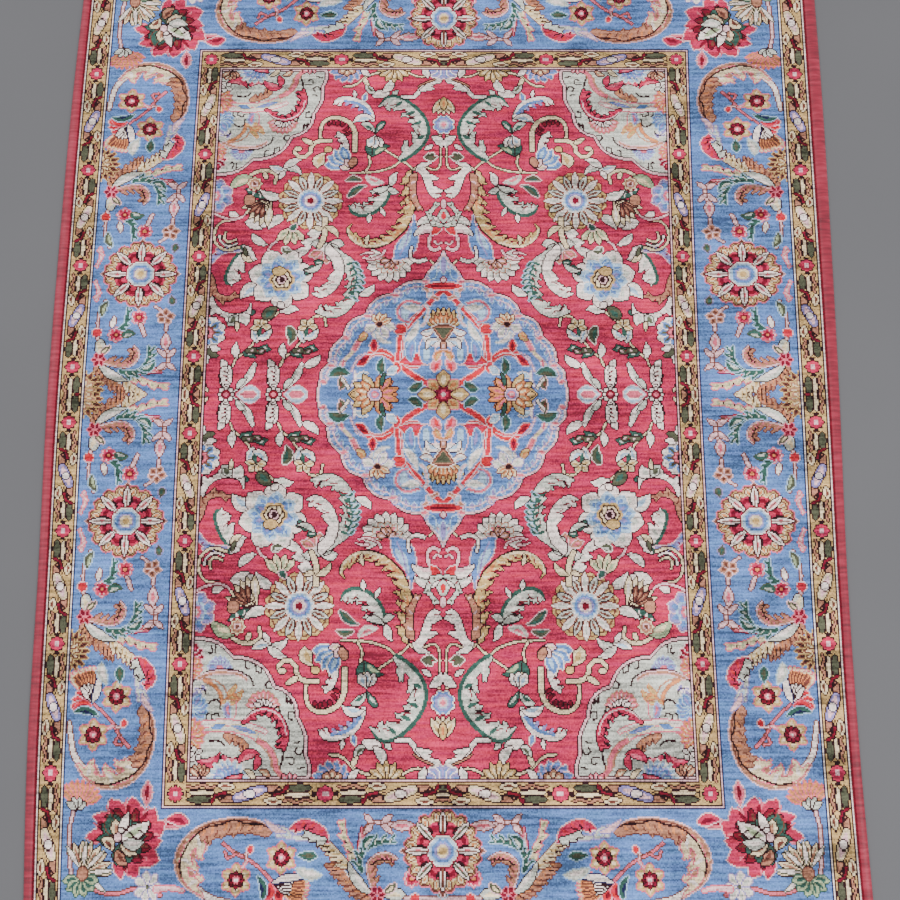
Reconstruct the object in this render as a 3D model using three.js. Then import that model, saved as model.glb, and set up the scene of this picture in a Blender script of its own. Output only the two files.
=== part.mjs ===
// A hand-knotted silk rug, lying flat with its pile up.
// Millimetres, +Z up, the rug's length along Y, its underside on Z = 0.
// The knotted body carries the pile and ends in a narrow flat-woven web at each end.
// Each long side is finished by a flat selvedge, overcast in red silk.

import * as THREE from 'three';

// Driving dimensions
const RUG_LENGTH = 1312;
const PILE_HEIGHT = 4;
const WEB_HEIGHT = 1.6;
const WEB_LENGTH = 13;
const PILE_EDGE_SLOPE = 1.5;
const SELVEDGE_HEIGHT = 4.4;
const SEWN_GAP = 0.3;

// How finely the long sides follow their slow waves, and how round the selvedges are
const LENGTH_STEPS = 48;
const WIDTH_STEPS = 8;
const ARCH_SEGMENTS = 6;

// The long sides wander a little, as they do on the loom: each row gives, from the lower end to the
// upper end, where the left and right outer edges lie and how wide the overcast band is there.
const EDGE_ROWS = [
  { left: -490.0, leftBand: 11.0, right: 500.0, rightBand: 12.5 },
  { left: -501.5, leftBand: 12.5, right: 496.0, rightBand: 12.0 },
  { left: -505.0, leftBand: 11.5, right: 497.0, rightBand: 11.5 },
  { left: -510.3, leftBand: 12.5, right: 503.5, rightBand: 14.0 },
  { left: -510.3, leftBand: 13.5, right: 508.0, rightBand: 16.5 },
  { left: -507.5, leftBand: 12.5, right: 510.6, rightBand: 17.5 },
  { left: -500.0, leftBand: 10.5, right: 510.0, rightBand: 16.0 },
];

// A smooth curve through one column of the table, read at any place along the length.
function alongSide(column, y) {
  const last = EDGE_ROWS.length - 1;
  const place = (y / RUG_LENGTH + 0.5) * last;
  const row = THREE.MathUtils.clamp(Math.floor(place), 0, last - 1);
  const value = (index) => EDGE_ROWS[index][column];
  const start = value(row);
  const end = value(row + 1);
  const startSlope = row > 0 ? (end - value(row - 1)) / 2 : end - start;
  const endSlope = row < last - 1 ? (value(row + 2) - start) / 2 : end - start;
  const t = place - row;
  const bend = startSlope + endSlope + 2 * (start - end);
  const lean = 3 * (end - start) - 2 * startSlope - endSlope;
  return ((bend * t + lean) * t + startSlope) * t + start;
}

const leftSeam = (y) => alongSide('left', y) + alongSide('leftBand', y);
const rightSeam = (y) => alongSide('right', y) - alongSide('rightBand', y);

function clothMaterial(color, roughness) {
  return new THREE.MeshStandardMaterial({ color, roughness, metalness: 0 });
}

// Where the body is given a section along its length, and how thick it is there: a thin web, a short
// slope up, the pile, and the same at the far end.
function bodyStations() {
  const end = RUG_LENGTH / 2;
  const slopeFoot = end - WEB_LENGTH;
  const slopeTop = slopeFoot - PILE_EDGE_SLOPE;
  const stations = [
    { y: -end, height: WEB_HEIGHT },
    { y: -slopeFoot, height: WEB_HEIGHT },
  ];
  for (let step = 0; step <= LENGTH_STEPS; step += 1) {
    const y = THREE.MathUtils.lerp(-slopeTop, slopeTop, step / LENGTH_STEPS);
    stations.push({ y, height: PILE_HEIGHT });
  }
  stations.push({ y: slopeFoot, height: WEB_HEIGHT }, { y: end, height: WEB_HEIGHT });
  return stations;
}

// A section one unit wide and one unit high is drawn out through the stations, and each point is then
// set between the two edges at its own place along the rug.
function drawOut(section, stations, nearEdge, farEdge) {
  const steps = stations.length - 1;
  const geometry = new THREE.ExtrudeGeometry(section, {
    depth: steps,
    steps,
    curveSegments: ARCH_SEGMENTS,
    bevelEnabled: false,
  });
  const points = geometry.getAttribute('position');
  for (let i = 0; i < points.count; i += 1) {
    const { y, height } = stations[steps - Math.round(points.getZ(i))];
    const x = THREE.MathUtils.lerp(nearEdge(y), farEdge(y), points.getX(i));
    points.setXYZ(i, x, y, points.getY(i) * height);
  }
  geometry.computeVertexNormals();
  return geometry;
}

// The knotted body: a flat section, divided across so that its faces stay short.
function makeBody() {
  const section = new THREE.Shape();
  section.moveTo(0, 0);
  for (let step = 1; step <= WIDTH_STEPS; step += 1) {
    section.lineTo(step / WIDTH_STEPS, 0);
  }
  for (let step = WIDTH_STEPS; step >= 0; step -= 1) {
    section.lineTo(step / WIDTH_STEPS, 1);
  }
  const geometry = drawOut(section, bodyStations(),
    (y) => leftSeam(y) + SEWN_GAP / 2,
    (y) => rightSeam(y) - SEWN_GAP / 2);
  const body = new THREE.Mesh(geometry, clothMaterial(0xc23a52, 0.6));
  body.name = 'rug_body';
  return body;
}

// A selvedge: flat underneath, a low arch above, following its own long side.
function makeSelvedge(name, nearEdge, farEdge) {
  const section = new THREE.Shape();
  section.absellipse(0.5, 0, 0.5, 1, 0, Math.PI);
  const stations = [];
  for (let step = 0; step <= LENGTH_STEPS; step += 1) {
    const y = RUG_LENGTH * (step / LENGTH_STEPS - 0.5);
    stations.push({ y, height: SELVEDGE_HEIGHT });
  }
  const geometry = drawOut(section, stations, nearEdge, farEdge);
  const selvedge = new THREE.Mesh(geometry, clothMaterial(0xe0566c, 0.5));
  selvedge.name = name;
  return selvedge;
}

const rug = new THREE.Group();
rug.add(makeBody());
rug.add(makeSelvedge('selvedge_left',
  (y) => alongSide('left', y),
  (y) => leftSeam(y) - SEWN_GAP / 2));
rug.add(makeSelvedge('selvedge_right',
  (y) => rightSeam(y) + SEWN_GAP / 2,
  (y) => alongSide('right', y)));

export default rug;
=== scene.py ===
import math

import bmesh
import bpy
import numpy as np
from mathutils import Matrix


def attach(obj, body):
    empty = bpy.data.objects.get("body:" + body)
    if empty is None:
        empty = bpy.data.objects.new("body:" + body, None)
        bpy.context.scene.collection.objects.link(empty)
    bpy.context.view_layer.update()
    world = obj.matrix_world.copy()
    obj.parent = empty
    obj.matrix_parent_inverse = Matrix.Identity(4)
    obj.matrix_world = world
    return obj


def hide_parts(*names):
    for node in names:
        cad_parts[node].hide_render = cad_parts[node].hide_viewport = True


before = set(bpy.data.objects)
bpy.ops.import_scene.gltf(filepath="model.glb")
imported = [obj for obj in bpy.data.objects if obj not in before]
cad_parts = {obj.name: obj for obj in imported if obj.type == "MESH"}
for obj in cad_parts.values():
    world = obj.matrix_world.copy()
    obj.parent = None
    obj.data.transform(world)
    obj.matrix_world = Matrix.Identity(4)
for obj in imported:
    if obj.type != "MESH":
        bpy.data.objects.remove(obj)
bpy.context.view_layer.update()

# Camera: high above the rug, looking down from its lower end
CAMERA_TARGET = (0.005, -0.064, 0.004)
CAMERA_DISTANCE = 1.707
CAMERA_TILT = math.radians(14.45)
LENS_LENGTH = 54.0
SENSOR_WIDTH = 36.0
camera_data = bpy.data.cameras.new("camera")
camera_data.lens = LENS_LENGTH
camera_data.sensor_width = SENSOR_WIDTH
camera = bpy.data.objects.new("camera", camera_data)
camera.location = (CAMERA_TARGET[0],
                   CAMERA_TARGET[1] - CAMERA_DISTANCE * math.sin(CAMERA_TILT),
                   CAMERA_TARGET[2] + CAMERA_DISTANCE * math.cos(CAMERA_TILT))
camera.rotation_euler = (CAMERA_TILT, 0.0, 0.0)
bpy.context.scene.collection.objects.link(camera)
bpy.context.scene.camera = camera

# Knotted body: asymmetrical silk knots on a cotton and silk foundation, one piece off the loom. Its
# pattern is the knots themselves: each one has its own yarn, counted out on a chart as the weaver does.
# The design is the same in all four quarters: medallion, field, corner pieces, two guards, main border.
KNOT = 1.62
QUARTER_COLUMNS = 300
QUARTER_ROWS = 396
YARNS = {
    "crimson": (197, 52, 86), "deep": (122, 20, 42), "red": (212, 48, 62), "rose": (228, 108, 128),
    "pink": (240, 190, 196), "ivory": (246, 228, 221), "sage": (202, 203, 192), "cream": (236, 212, 172),
    "gold": (206, 168, 110), "orange": (218, 134, 84), "camel": (180, 122, 98), "umber": (112, 62, 52),
    "brown": (46, 18, 24), "olive": (82, 84, 66), "green": (54, 88, 78), "leaf": (166, 180, 142),
    "pale": (168, 196, 222), "blue": (98, 132, 192), "lavender": (146, 134, 190), "navy": (28, 28, 70),
}
YARN_NUMBER = {name: number for number, name in enumerate(YARNS)}


def bowed(start, end, bow, steps=12):
    """Points from start to end along a line that bows to the right of its travel."""
    t = np.linspace(0.0, 1.0, steps + 1)[:, None]
    start, end = np.array(start, float), np.array(end, float)
    run = end - start
    right = np.array([run[1], -run[0]]) / np.hypot(*run)
    return start + run * t + right * bow * 4.0 * t * (1.0 - t)


def smooth(points, steps=8):
    """An open curve drawn through a few points."""
    points = np.array(points, float)
    before = np.vstack([2 * points[0] - points[1], points[:-1]])[:, None]
    after = np.vstack([points[2:], 2 * points[-1] - points[-2]])[:, None]
    start, end = points[:-1, None], points[1:, None]
    before = before[:-1]
    t = np.linspace(0.0, 1.0, steps, endpoint=False)[None, :, None]
    curve = 0.5 * (2 * start + (end - before) * t + (2 * before - 5 * start + 4 * end - after) * t ** 2
                   + (3 * start - before - 3 * end + after) * t ** 3)
    return np.vstack([curve.reshape(-1, 2), points[-1:]])


def turned(aim, degrees):
    """A direction turned to the left."""
    turn = np.radians(degrees)
    across, up = np.cos(turn), np.sin(turn)
    return np.array([aim[0] * across - aim[1] * up, aim[0] * up + aim[1] * across])


def grow(knots, by=1):
    """The same knots and the ones beside them."""
    for _ in range(by):
        wide = np.pad(knots, 1, mode="edge")
        knots = (wide[1:-1, 1:-1] | wide[:-2, 1:-1] | wide[2:, 1:-1] | wide[1:-1, :-2] | wide[1:-1, 2:])
    return knots


class KnotChart:
    """Part of the pattern as knots; places and sizes are millimetres from its lower left corner.

    gap is the yarn that shows between the fingers of a feathered leaf.
    """

    # Where the barbs of a finger start, as a share of it, and how far they swing out in degrees
    BARBS = ((0.45, 24.0), (0.68, 30.0))

    def __init__(self, columns, rows, ground):
        self.knots = np.full((rows, columns), YARN_NUMBER[ground])
        self.gap = ground
        self.x, self.y = np.meshgrid((np.arange(columns) + 0.5) * KNOT, (np.arange(rows) + 0.5) * KNOT)

    def inside(self, outline):
        """The knots whose middles lie in a closed outline."""
        outline = np.asarray(outline, float)
        rows, columns = self.knots.shape
        low = np.clip(np.floor(outline.min(axis=0) / KNOT).astype(int), 0, (columns, rows))
        high = np.clip(np.ceil(outline.max(axis=0) / KNOT).astype(int), 0, (columns, rows))
        window = (slice(low[1], high[1]), slice(low[0], high[0]))
        x, y = self.x[window], self.y[window]
        hit = np.zeros(x.shape, bool)
        for (ax, ay), (bx, by) in zip(outline, np.roll(outline, -1, axis=0)):
            if ay != by:
                hit ^= ((ay > y) != (by > y)) & (x < ax + (y - ay) * (bx - ax) / (by - ay))
        knots = np.zeros(self.knots.shape, bool)
        knots[window] = hit
        return knots

    def paint(self, knots, yarn, edge=None):
        """Tie the knots in one yarn, and the ones round them in the edge yarn."""
        if edge:
            self.knots[grow(knots) & ~knots] = YARN_NUMBER[edge]
        self.knots[knots] = YARN_NUMBER[yarn]

    def oval(self, centre, wide, high, yarn, edge=None, turn=0.0):
        turn = np.radians(turn)
        dx, dy = self.x - centre[0], self.y - centre[1]
        along = dx * np.cos(turn) + dy * np.sin(turn)
        aside = dy * np.cos(turn) - dx * np.sin(turn)
        self.paint((2 * along / wide) ** 2 + (2 * aside / high) ** 2 < 1.0, yarn, edge)

    def strip(self, spine, left, right):
        """The knots along a spine, with a width at each point on its left and right."""
        heading = np.gradient(spine, axis=0)
        heading /= np.maximum(np.hypot(heading[:, 0], heading[:, 1]), 1e-9)[:, None]
        aside = np.column_stack([-heading[:, 1], heading[:, 0]])
        near, far = spine + aside * left[:, None], spine - aside * right[:, None]
        knots = np.zeros(self.knots.shape, bool)
        for first in range(0, len(spine) - 1, 4):
            piece = slice(first, first + 5)
            knots |= self.inside(np.vstack([near[piece], far[piece][::-1]]))
        return knots

    def blade(self, start, end, bow=0.0, wide=6.0, fat=0.45):
        """A plain pointed leaf from its stem to its tip."""
        spine = bowed(start, end, bow, 24)
        t = np.linspace(0.0, 1.0, len(spine))
        swell = np.sin(np.pi * t ** (np.log(0.5) / np.log(fat))) * wide * 0.5
        return self.strip(spine, swell, swell)

    def leaf(self, start, end, bow=0.0, wide=6.0, yarn="ivory", edge=None, heart=None, fat=0.45):
        """A leaf or petal, with a smaller one of another yarn inside it."""
        self.paint(self.blade(start, end, bow, wide, fat), yarn, edge)
        if heart:
            start, end = np.array(start, float), np.array(end, float)
            self.paint(self.blade(start + (end - start) * 0.15, start + (end - start) * 0.8, bow * 0.6,
                                  wide * 0.42, fat), heart)

    def saz(self, path, wide, yarn, edge, fingers, reach, side=1, broad=6.0, lean=55.0, first=0.12, last=0.92,
            vein=None, rib=None, rib_wide=3.0, gap=None):
        """A long feathered leaf: a body beside its rib, and barbed fingers that lean towards its tip.

        wide and reach are given at the stem and at the tip; side is 1 for fingers on the left of the path.
        """
        spine = smooth(path, 12)
        t = np.linspace(0.0, 1.0, len(spine))
        taper = np.minimum(1.0, (t + 0.04) / 0.1) * np.minimum(1.0, (1.0 - t) / 0.18) ** 0.7
        body = (wide[0] + (wide[1] - wide[0]) * t) * taper
        thin = np.full(len(spine), 0.8)
        knots = self.strip(spine, body, thin) if side > 0 else self.strip(spine, thin, body)
        heading = np.gradient(spine, axis=0)
        heading /= np.hypot(heading[:, 0], heading[:, 1])[:, None]
        veins = []
        for share in np.linspace(first, last, fingers):
            place = int(share * (len(spine) - 1))
            length = reach[0] + (reach[1] - reach[0]) * share + body[place]
            root = spine[place]
            aim = turned(heading[place], lean * side)
            tip = root + aim * length
            knots |= self.blade(root, tip, -side * length * 0.14, broad, 0.38)
            for along, swing in self.BARBS:
                foot = root + aim * length * along
                barb = turned(aim, swing * side)
                knots |= self.blade(foot, foot + barb * length * 0.42, 0.0, broad * 0.42, 0.3)
            veins.append((root, root + aim * length * 0.62, -side * length * 0.1))
        self.paint(knots, yarn, edge)
        for root, tip, bow in veins if vein else ():
            self.paint(self.blade(root, tip, bow, broad * 0.42, 0.4) & knots, vein)
        for (root, tip, bow), (after, _, _) in zip(veins, veins[1:]):
            middle = (root + after) / 2
            cleft = self.blade(middle + (tip - root) * 0.42, middle + (tip - root) * 1.5, bow, 1.9, 0.5)
            self.paint(cleft & knots, gap or self.gap)
        if rib:
            line = np.full(len(spine), rib_wide) * np.minimum(1.0, (1.0 - t) / 0.12)
            self.paint(self.strip(spine, thin * 0, line) if side > 0 else self.strip(spine, line, thin * 0),
                       rib)

    def stem(self, path, wide, yarn, edge=None, tip=1.0):
        """A line through a few points; tip is its width at the far end against the near one."""
        spine = smooth(path)
        half = np.linspace(1.0, tip, len(spine)) * wide * 0.5
        self.paint(self.strip(spine, half, half), yarn, edge)

    def rosette(self, centre, rings, petals=8, notch=0.2, turn=0.0, edge=None):
        """Rings of yarn from the outside in, each drawn in between its petals."""
        dx, dy = self.x - centre[0], self.y - centre[1]
        radius = np.hypot(dx, dy)
        lobes = 1.0 - notch * (1.0 - np.abs(np.cos(0.5 * petals * (np.arctan2(dy, dx) - np.radians(turn)))))
        for size, yarn in rings:
            self.paint(radius < size * lobes, yarn, edge)
            edge = None

    def petals(self, centre, count, inner, outer, wide, yarn, edge=None, heart=None, first=0.0, spread=360.0,
               fat=0.55):
        """Petals round a centre, or fanned over part of a turn; angles in degrees from the x axis."""
        gaps = count if spread == 360.0 else count - 1
        for turn in np.radians(first + spread * np.arange(count) / gaps):
            aim = np.array([np.cos(turn), np.sin(turn)])
            self.leaf(centre + aim * inner, centre + aim * outer, 0.0, wide, yarn, edge, heart, fat)


quarter = KnotChart(QUARTER_COLUMNS, QUARTER_ROWS, "crimson")
leaf, stem, oval, petals, rosette = quarter.leaf, quarter.stem, quarter.oval, quarter.petals, quarter.rosette
paint, inside, saz = quarter.paint, quarter.inside, quarter.saz
quarter.gap = "deep"

# Field: stems that carry the leaves and flowers between the medallion and the corner pieces
for path in ([(127, 313), (108, 314), (88, 316), (68, 323), (58, 332)],
             [(40, 317), (52, 329), (66, 339), (82, 350)],
             [(42, 318), (30, 325), (12, 318), (4, 330), (5, 372)],
             [(58, 332), (44, 342), (30, 358), (26, 372)], [(105, 315), (99, 328), (101, 342), (96, 356)],
             [(157, 248), (157, 262)], [(18, 186), (9, 178), (0, 176)],
             [(270, 38), (266, 48), (255, 58), (246, 68), (240, 79)], [(180, 172), (192, 160)],
             [(210, 38), (204, 50), (195, 57), (187, 68), (180, 78)], [(52, 470), (30, 462), (8, 470)],
             [(230, 99), (218, 108), (207, 120), (203, 128)],
             [(176, 99), (168, 106), (156, 106), (152, 92)], [(300, 4), (305, 15), (307, 40)],
             [(307, 105), (304, 120), (300, 134)]):
    stem(path, 2.4, "cream", "brown")

# Field: the long gold feathered leaf and the ivory half leaf beside the axis
saz([(44, 317), (38, 288), (40, 258), (50, 232), (68, 214), (88, 205), (108, 207), (122, 217), (128, 230),
    (121, 239)], (13, 4), "gold", "brown", 13, (15, 3), 1, 5.5, 48, 0.02, 0.74, "cream", "brown", 1.6)
stem([(74, 211), (96, 205), (112, 209), (124, 220), (127, 231)], 3.4, "cream", None, 0.7)
leaf((54, 232), (66, 219), 0, 5, "orange")
leaf((44, 300), (45, 258), 2, 5, "orange")
leaf((100, 207), (98, 223), 3, 5, "cream", "brown")
saz([(38, 318), (30, 312), (24, 298), (20, 286), (12, 277), (3, 280)], (10, 7), "ivory", "brown", 4,
    (14, 5), -1, 8, 60, 0.05, 0.8, "sage")
saz([(36, 312), (38, 292), (36, 274), (28, 258)], (9, 5), "camel", "brown", 3, (5, 3), 1, 6, 50, 0.2, 0.9,
    "pink")

# Field: the sage feathered leaf and the small leaves round it
saz([(73, 294), (77, 276), (88, 261), (104, 253), (117, 255), (127, 265)], (11, 7), "sage", "brown", 5,
    (14, 5), 1, 9, 62, 0.05, 0.9, "ivory", "green", 5)
leaf((98, 252), (100, 240), 0, 6, "ivory", "brown")
leaf((84, 262), (78, 249), 0, 5, "ivory", "brown")
leaf((74, 292), (60, 284), -2, 8, "sage", "brown")
leaf((74, 293), (96, 289), 3, 8, "sage", "brown")
leaf((70, 294), (62, 315), 2, 10, "ivory", "brown", "sage")
leaf((128, 276), (103, 295), 3, 9, "green", "pink", "olive")
leaf((131, 301), (109, 301), 4, 8, "olive", "pink", "green")
leaf((104, 309), (80, 300), -4, 9, "sage", "pink", "rose")

# Field: the big green-ribbed leaf near the axis
saz([(60, 332), (42, 344), (28, 360), (23, 377), (26, 393), (36, 408), (49, 420), (63, 428), (77, 427),
    (89, 415)], (8, 11), "sage", "brown", 8, (15, 10), -1, 10, 60, 0.08, 0.92, "ivory", "green", 5)
for start, tip in (((26, 370), (38, 364)), ((28, 392), (42, 388)), ((38, 408), (52, 402)),
                   ((56, 424), (66, 415))):
    leaf(start, tip, 0, 5, "green")
saz([(26, 336), (16, 332), (9, 338)], (9, 6), "olive", "ivory", 2, (4, 3), -1, 6, 60, 0.2, 0.7)
leaf((2, 352), (18, 368), -4, 11, "ivory", "brown", "sage")
leaf((14, 356), (26, 348), 0, 6, "ivory", "brown")
rosette((0, 387), [(15, "ivory"), (13.5, "blue"), (10.5, "lavender"), (7.5, "pale"), (6, "pink"),
        (3, "rose")], 8, 0.16, 22, "deep")
petals((0, 432), 5, 2, 30, 9, "cream", "brown", "gold", -118, 56, 0.6)
leaf((0, 430), (0, 408), 0, 9, "gold", "brown", "orange")

# Field: flowers and leaves under the big leaf, and the half palmettes that grow from the guard
stem([(58, 431), (48, 430), (40, 431), (31, 442), (22, 451)], 4, "ivory", "brown", 1.6)
saz([(32, 440), (22, 450), (10, 462), (2, 474)], (5, 8), "ivory", "brown", 3, (8, 5), 1, 7, 50, 0.2, 0.9,
    "sage")
stem([(12, 458), (26, 452), (36, 446)], 1.6, "camel", "brown")
oval((86, 435), 24, 12, "ivory", "brown", -12)
leaf((84, 438), (70, 462), -4, 11, "ivory", "brown", "sage")
leaf((94, 437), (106, 450), 2, 9, "sage", "brown", "olive")
leaf((70, 434), (62, 440), 0, 6, "sage", "brown")
stem([(138, 446), (122, 449), (109, 460), (96, 467), (82, 470)], 2.8, "cream", "brown")
leaf((108, 461), (101, 448), -2, 6, "cream", "brown")
petals((133, 477), 6, 2, 24, 11, "blue", "pink", "lavender", -160, 140, 0.6)
petals((133, 477), 3, 2, 14, 9, "camel", "brown", "cream", -140, 100)
leaf((112, 476), (100, 464), -2, 8, "ivory", "brown")
petals((68, 478), 7, 2, 25, 8, "gold", "brown", "cream", -168, 156, 0.6)
petals((4, 480), 5, 2, 22, 12, "lavender", "ivory", "blue", -150, 120, 0.6)
leaf((30, 474), (22, 460), 2, 9, "ivory", "brown", "sage")

# Field: the cup flower with its leaves
leaf((96, 338), (73, 354), 5, 13, "green", "brown", "leaf")
leaf((98, 340), (104, 357), 0, 8, "green", "brown")
petals((93, 371), 3, 0, 20, 11, "ivory", "brown", "pale", -118, 56, 0.62)
leaf((92, 373), (112, 389), -3, 10, "sage", "brown", "green", 0.6)
leaf((92, 373), (79, 392), 2, 9, "green", "brown", "sage", 0.6)

# Field: the blue feathered leaf and the cream hook with its comb
saz([(94, 393), (97, 406), (104, 418), (116, 426), (131, 430), (145, 427), (150, 418)], (9, 5), "ivory",
    "brown", 6, (7, 6), -1, 6, 62, 0.1, 0.92)
stem([(100, 402), (108, 413), (120, 421), (136, 424)], 6, "blue", None, 0.6)
for start, tip in (((106, 410), (108, 402)), ((112, 415), (117, 407)), ((120, 420), (126, 412)),
                   ((129, 423), (134, 416))):
    leaf(start, tip, 0, 4.5, "lavender")
leaf((96, 396), (123, 390), -5, 11, "ivory", "brown", "pale")
leaf((109, 424), (106, 436), 0, 5, "blue", "ivory")
leaf((121, 429), (122, 441), 0, 5, "ivory", "brown")
stem([(120, 345), (120, 364), (121, 378), (128, 390), (141, 397), (154, 397), (164, 388), (167, 374),
     (166, 366)], 6.5, "cream", "brown", 0.6)
for start, tip in (((126, 376), (134, 372)), ((129, 384), (136, 378)), ((136, 391), (140, 384)),
                   ((143, 393), (146, 385)), ((150, 393), (151, 386)), ((156, 391), (156, 384))):
    leaf(start, tip, 1, 4, "deep", "brown")
saz([(135, 336), (130, 344), (129, 356), (134, 368), (144, 376)], (8, 5), "ivory", "brown", 4, (7, 5), -1,
    6, 60, 0.1, 0.9, "sage")
leaf((148, 338), (126, 340), 5, 8, "pale", "brown", "ivory")

# Field: blue bell flower with the cream vine that ends in a curl
petals((126, 322), 4, 2, 34, 13, "blue", "ivory", "pale", 8, 62, 0.62)
petals((124, 320), 3, 0, 16, 9, "pink", "brown", "cream", 10, 100)
oval((122, 330), 10, 16, "camel", "brown", 20)
leaf((158, 345), (170, 321), -3, 16, "cream", "brown", "gold", 0.6)
oval((156, 349), 10, 9, "gold", "brown")
stem([(150, 362), (166, 362), (177, 356), (180, 344), (190, 337), (200, 343), (199, 350)], 5.5, "cream",
     "brown", 0.8)
leaf((176, 357), (192, 366), 0, 7, "cream", "brown")
oval((196, 350), 9, 8, "cream", "brown")

# Field: two side flowers on the middle line, each with its leaves, bud, spray and fork
for place in (277, 217):
    leaf((place - 8, 2), (place - 36, 46), -5, 9, "ivory", "brown", "sage", 0.6)
    leaf((place - 14, 8), (place - 26, 22), 2, 7, "sage", "brown")
    leaf((place - 43, -3), (place - 12, -3), -3, 22, "pale", "pink", "blue", 0.4)
    leaf((place - 40, 0), (place - 18, 1), -1, 8, "rose", "ivory")
    oval((place + 1, 25), 16, 32, "ivory", "brown")
    leaf((place + 1, 34), (place + 8, 48), 0, 9, "ivory", "brown")
    saz([(place + 6, 38), (place + 7, 26), (place + 4, 12)], (4, 4), "ivory", "brown", 4, (5, 4), -1, 5,
        60, 0.1, 0.85, "sage")
    petals((place, 0), 8, 4, 11, 5, "ivory", "brown")
    rosette((place, 0), [(6.5, "deep"), (3, "rose")], 8, 0.1)
    leaf((place - 12, 49), (place - 11, 71), 2, 9, "ivory", "brown")
    saz([(place - 20, 58), (place - 30, 59), (place - 42, 64), (place - 50, 67)], (6, 5), "green",
        "brown", 3, (8, 5), 1, 7, 40, 0.2, 0.8, "sage")
    saz([(place - 22, 58), (place - 34, 57), (place - 46, 56)], (4, 3), "olive", "brown", 2, (5, 4), -1,
        6, 40, 0.3, 0.8, "pink")
    leaf((place - 37, 69), (place - 30, 92), 0, 9, "ivory", "brown", "pale")
    leaf((place - 36, 76), (place - 55, 90), -4, 9, "ivory", "brown", "pale")
    leaf((place - 38, 78), (place - 41, 92), 0, 6, "green")
    petals((place - 41, 92), 4, 1, 13, 8, "cream", "brown", "gold", -10, 190)
leaf((203, 93), (199, 68), 5, 12, "olive", "ivory", "green")
leaf((180, 38), (158, 54), -3, 11, "ivory", "brown")
leaf((233, 102), (215, 119), 2, 15, "olive", "brown", "green")
leaf((212, 112), (188, 116), 3, 12, "ivory", "brown", "sage")
leaf((253, 224), (231, 207), -3, 10, "ivory", "brown", "sage")
leaf((284, 256), (268, 249), -2, 9, "ivory", "brown")
leaf((252, 108), (244, 116), 0, 6, "green", "brown")

# Field: ivory bracket with its blossoms, and the half rosettes that sit against the guard
saz([(304, 150), (300, 133), (292, 118), (279, 110), (264, 110), (254, 114), (250, 124)], (7, 5), "ivory",
    "brown", 4, (9, 5), 1, 7, 70, 0.12, 0.72, "sage")
saz([(305, 170), (299, 156), (296, 144), (290, 136), (278, 134), (270, 141)], (8, 5), "camel", "brown", 4,
    (8, 5), 1, 6, 60, 0.15, 0.9, "umber")
leaf((269, 109), (279, 95), 3, 15, "sage", "brown", "olive")
leaf((264, 109), (256, 94), 3, 15, "ivory", "brown", "sage")
leaf((268, 100), (268, 85), 2, 5, "cream", "brown")
HALF_ROSETTE = (304, 84)
petals(HALF_ROSETTE, 8, 4, 24, 16, "ivory", "brown", "sage", 22)
petals(HALF_ROSETTE, 8, 4, 21, 9, "blue", "ivory", "olive", 0)
rosette(HALF_ROSETTE, [(10.5, "umber"), (7.5, "rose"), (3.5, "brown")], 8, 0.2)
leaf((302, 66), (302, 42), -4, 15, "ivory", "brown", "sage")
leaf((301, 64), (288, 52), -3, 10, "olive", "brown")
leaf((299, 66), (286, 62), -2, 8, "ivory", "brown")

# Field: the palmette with a gold heart
leaf((238, 150), (264, 131), -4, 17, "ivory", "brown", "pale")
petals((212, 160), 7, 10, 44, 27, "ivory", "brown", "sage", 12, 306, 0.6)
petals((212, 160), 8, 8, 33, 18, "pale", "ivory", "blue", -8, 360, 0.6)
petals((213, 160), 7, 4, 26, 13, "blue", "pale", "lavender", 18, 360, 0.6)
rosette((211, 158), [(17, "gold"), (14, "brown"), (12, "cream"), (9, "brown"), (6.5, "pink"),
        (4, "brown")], 6, 0.16)
oval((215, 170), 18, 12, "gold", "brown")
oval((205, 152), 5, 11, "cream", "brown", 20)
leaf((216, 126), (206, 118), 0, 8, "ivory", "brown")

# Field: feathered leaf by the guard, striped scroll and the cluster of cream leaves
saz([(264, 207), (266, 196), (274, 184), (280, 170), (282, 158), (276, 150)], (13, 7), "ivory", "brown",
    4, (12, 7), -1, 11, 62, 0.15, 0.85, "sage", "green", 4.5)
saz([(268, 199), (282, 198), (295, 192), (304, 180)], (6, 6), "lavender", "pink", 3, (6, 4), 1, 8, 50,
    0.2, 0.85, "blue")
leaf((264, 198), (250, 183), -2, 8, "cream", "brown")
leaf((262, 204), (258, 190), 0, 5, "olive", "brown")
stem([(268, 205), (284, 200), (297, 207), (302, 220), (299, 234), (290, 242), (276, 243)], 3.2, "cream",
     "brown", 0.8)
stem([(270, 210), (283, 206), (293, 213), (295, 222)], 2.4, "ivory", "brown")
stem([(272, 216), (281, 212), (288, 216), (287, 227)], 2.4, "cream", "brown")
stem([(304, 253), (290, 247), (275, 245), (262, 251)], 2.8, "pink", "deep")
oval((249, 238), 26, 15, "ivory", "brown", 15)
leaf((244, 236), (232, 238), 0, 8, "ivory", "brown")
leaf((209, 249), (231, 230), -4, 12, "ivory", "brown", "sage")
petals((229, 274), 6, 2, 40, 9, "cream", "brown", "ivory", -18, -66, 0.62)
petals((238, 272), 4, 4, 26, 6, "umber", "brown", "camel", -22, -60, 0.6)
saz([(226, 276), (240, 276), (254, 280), (264, 290)], (7, 5), "green", "brown", 4, (7, 5), 1, 6, 60, 0.2,
    0.9, "ivory")
leaf((214, 279), (244, 288), 5, 12, "ivory", "brown", "sage")
oval((258, 273), 14, 16, "camel", "brown")

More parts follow.
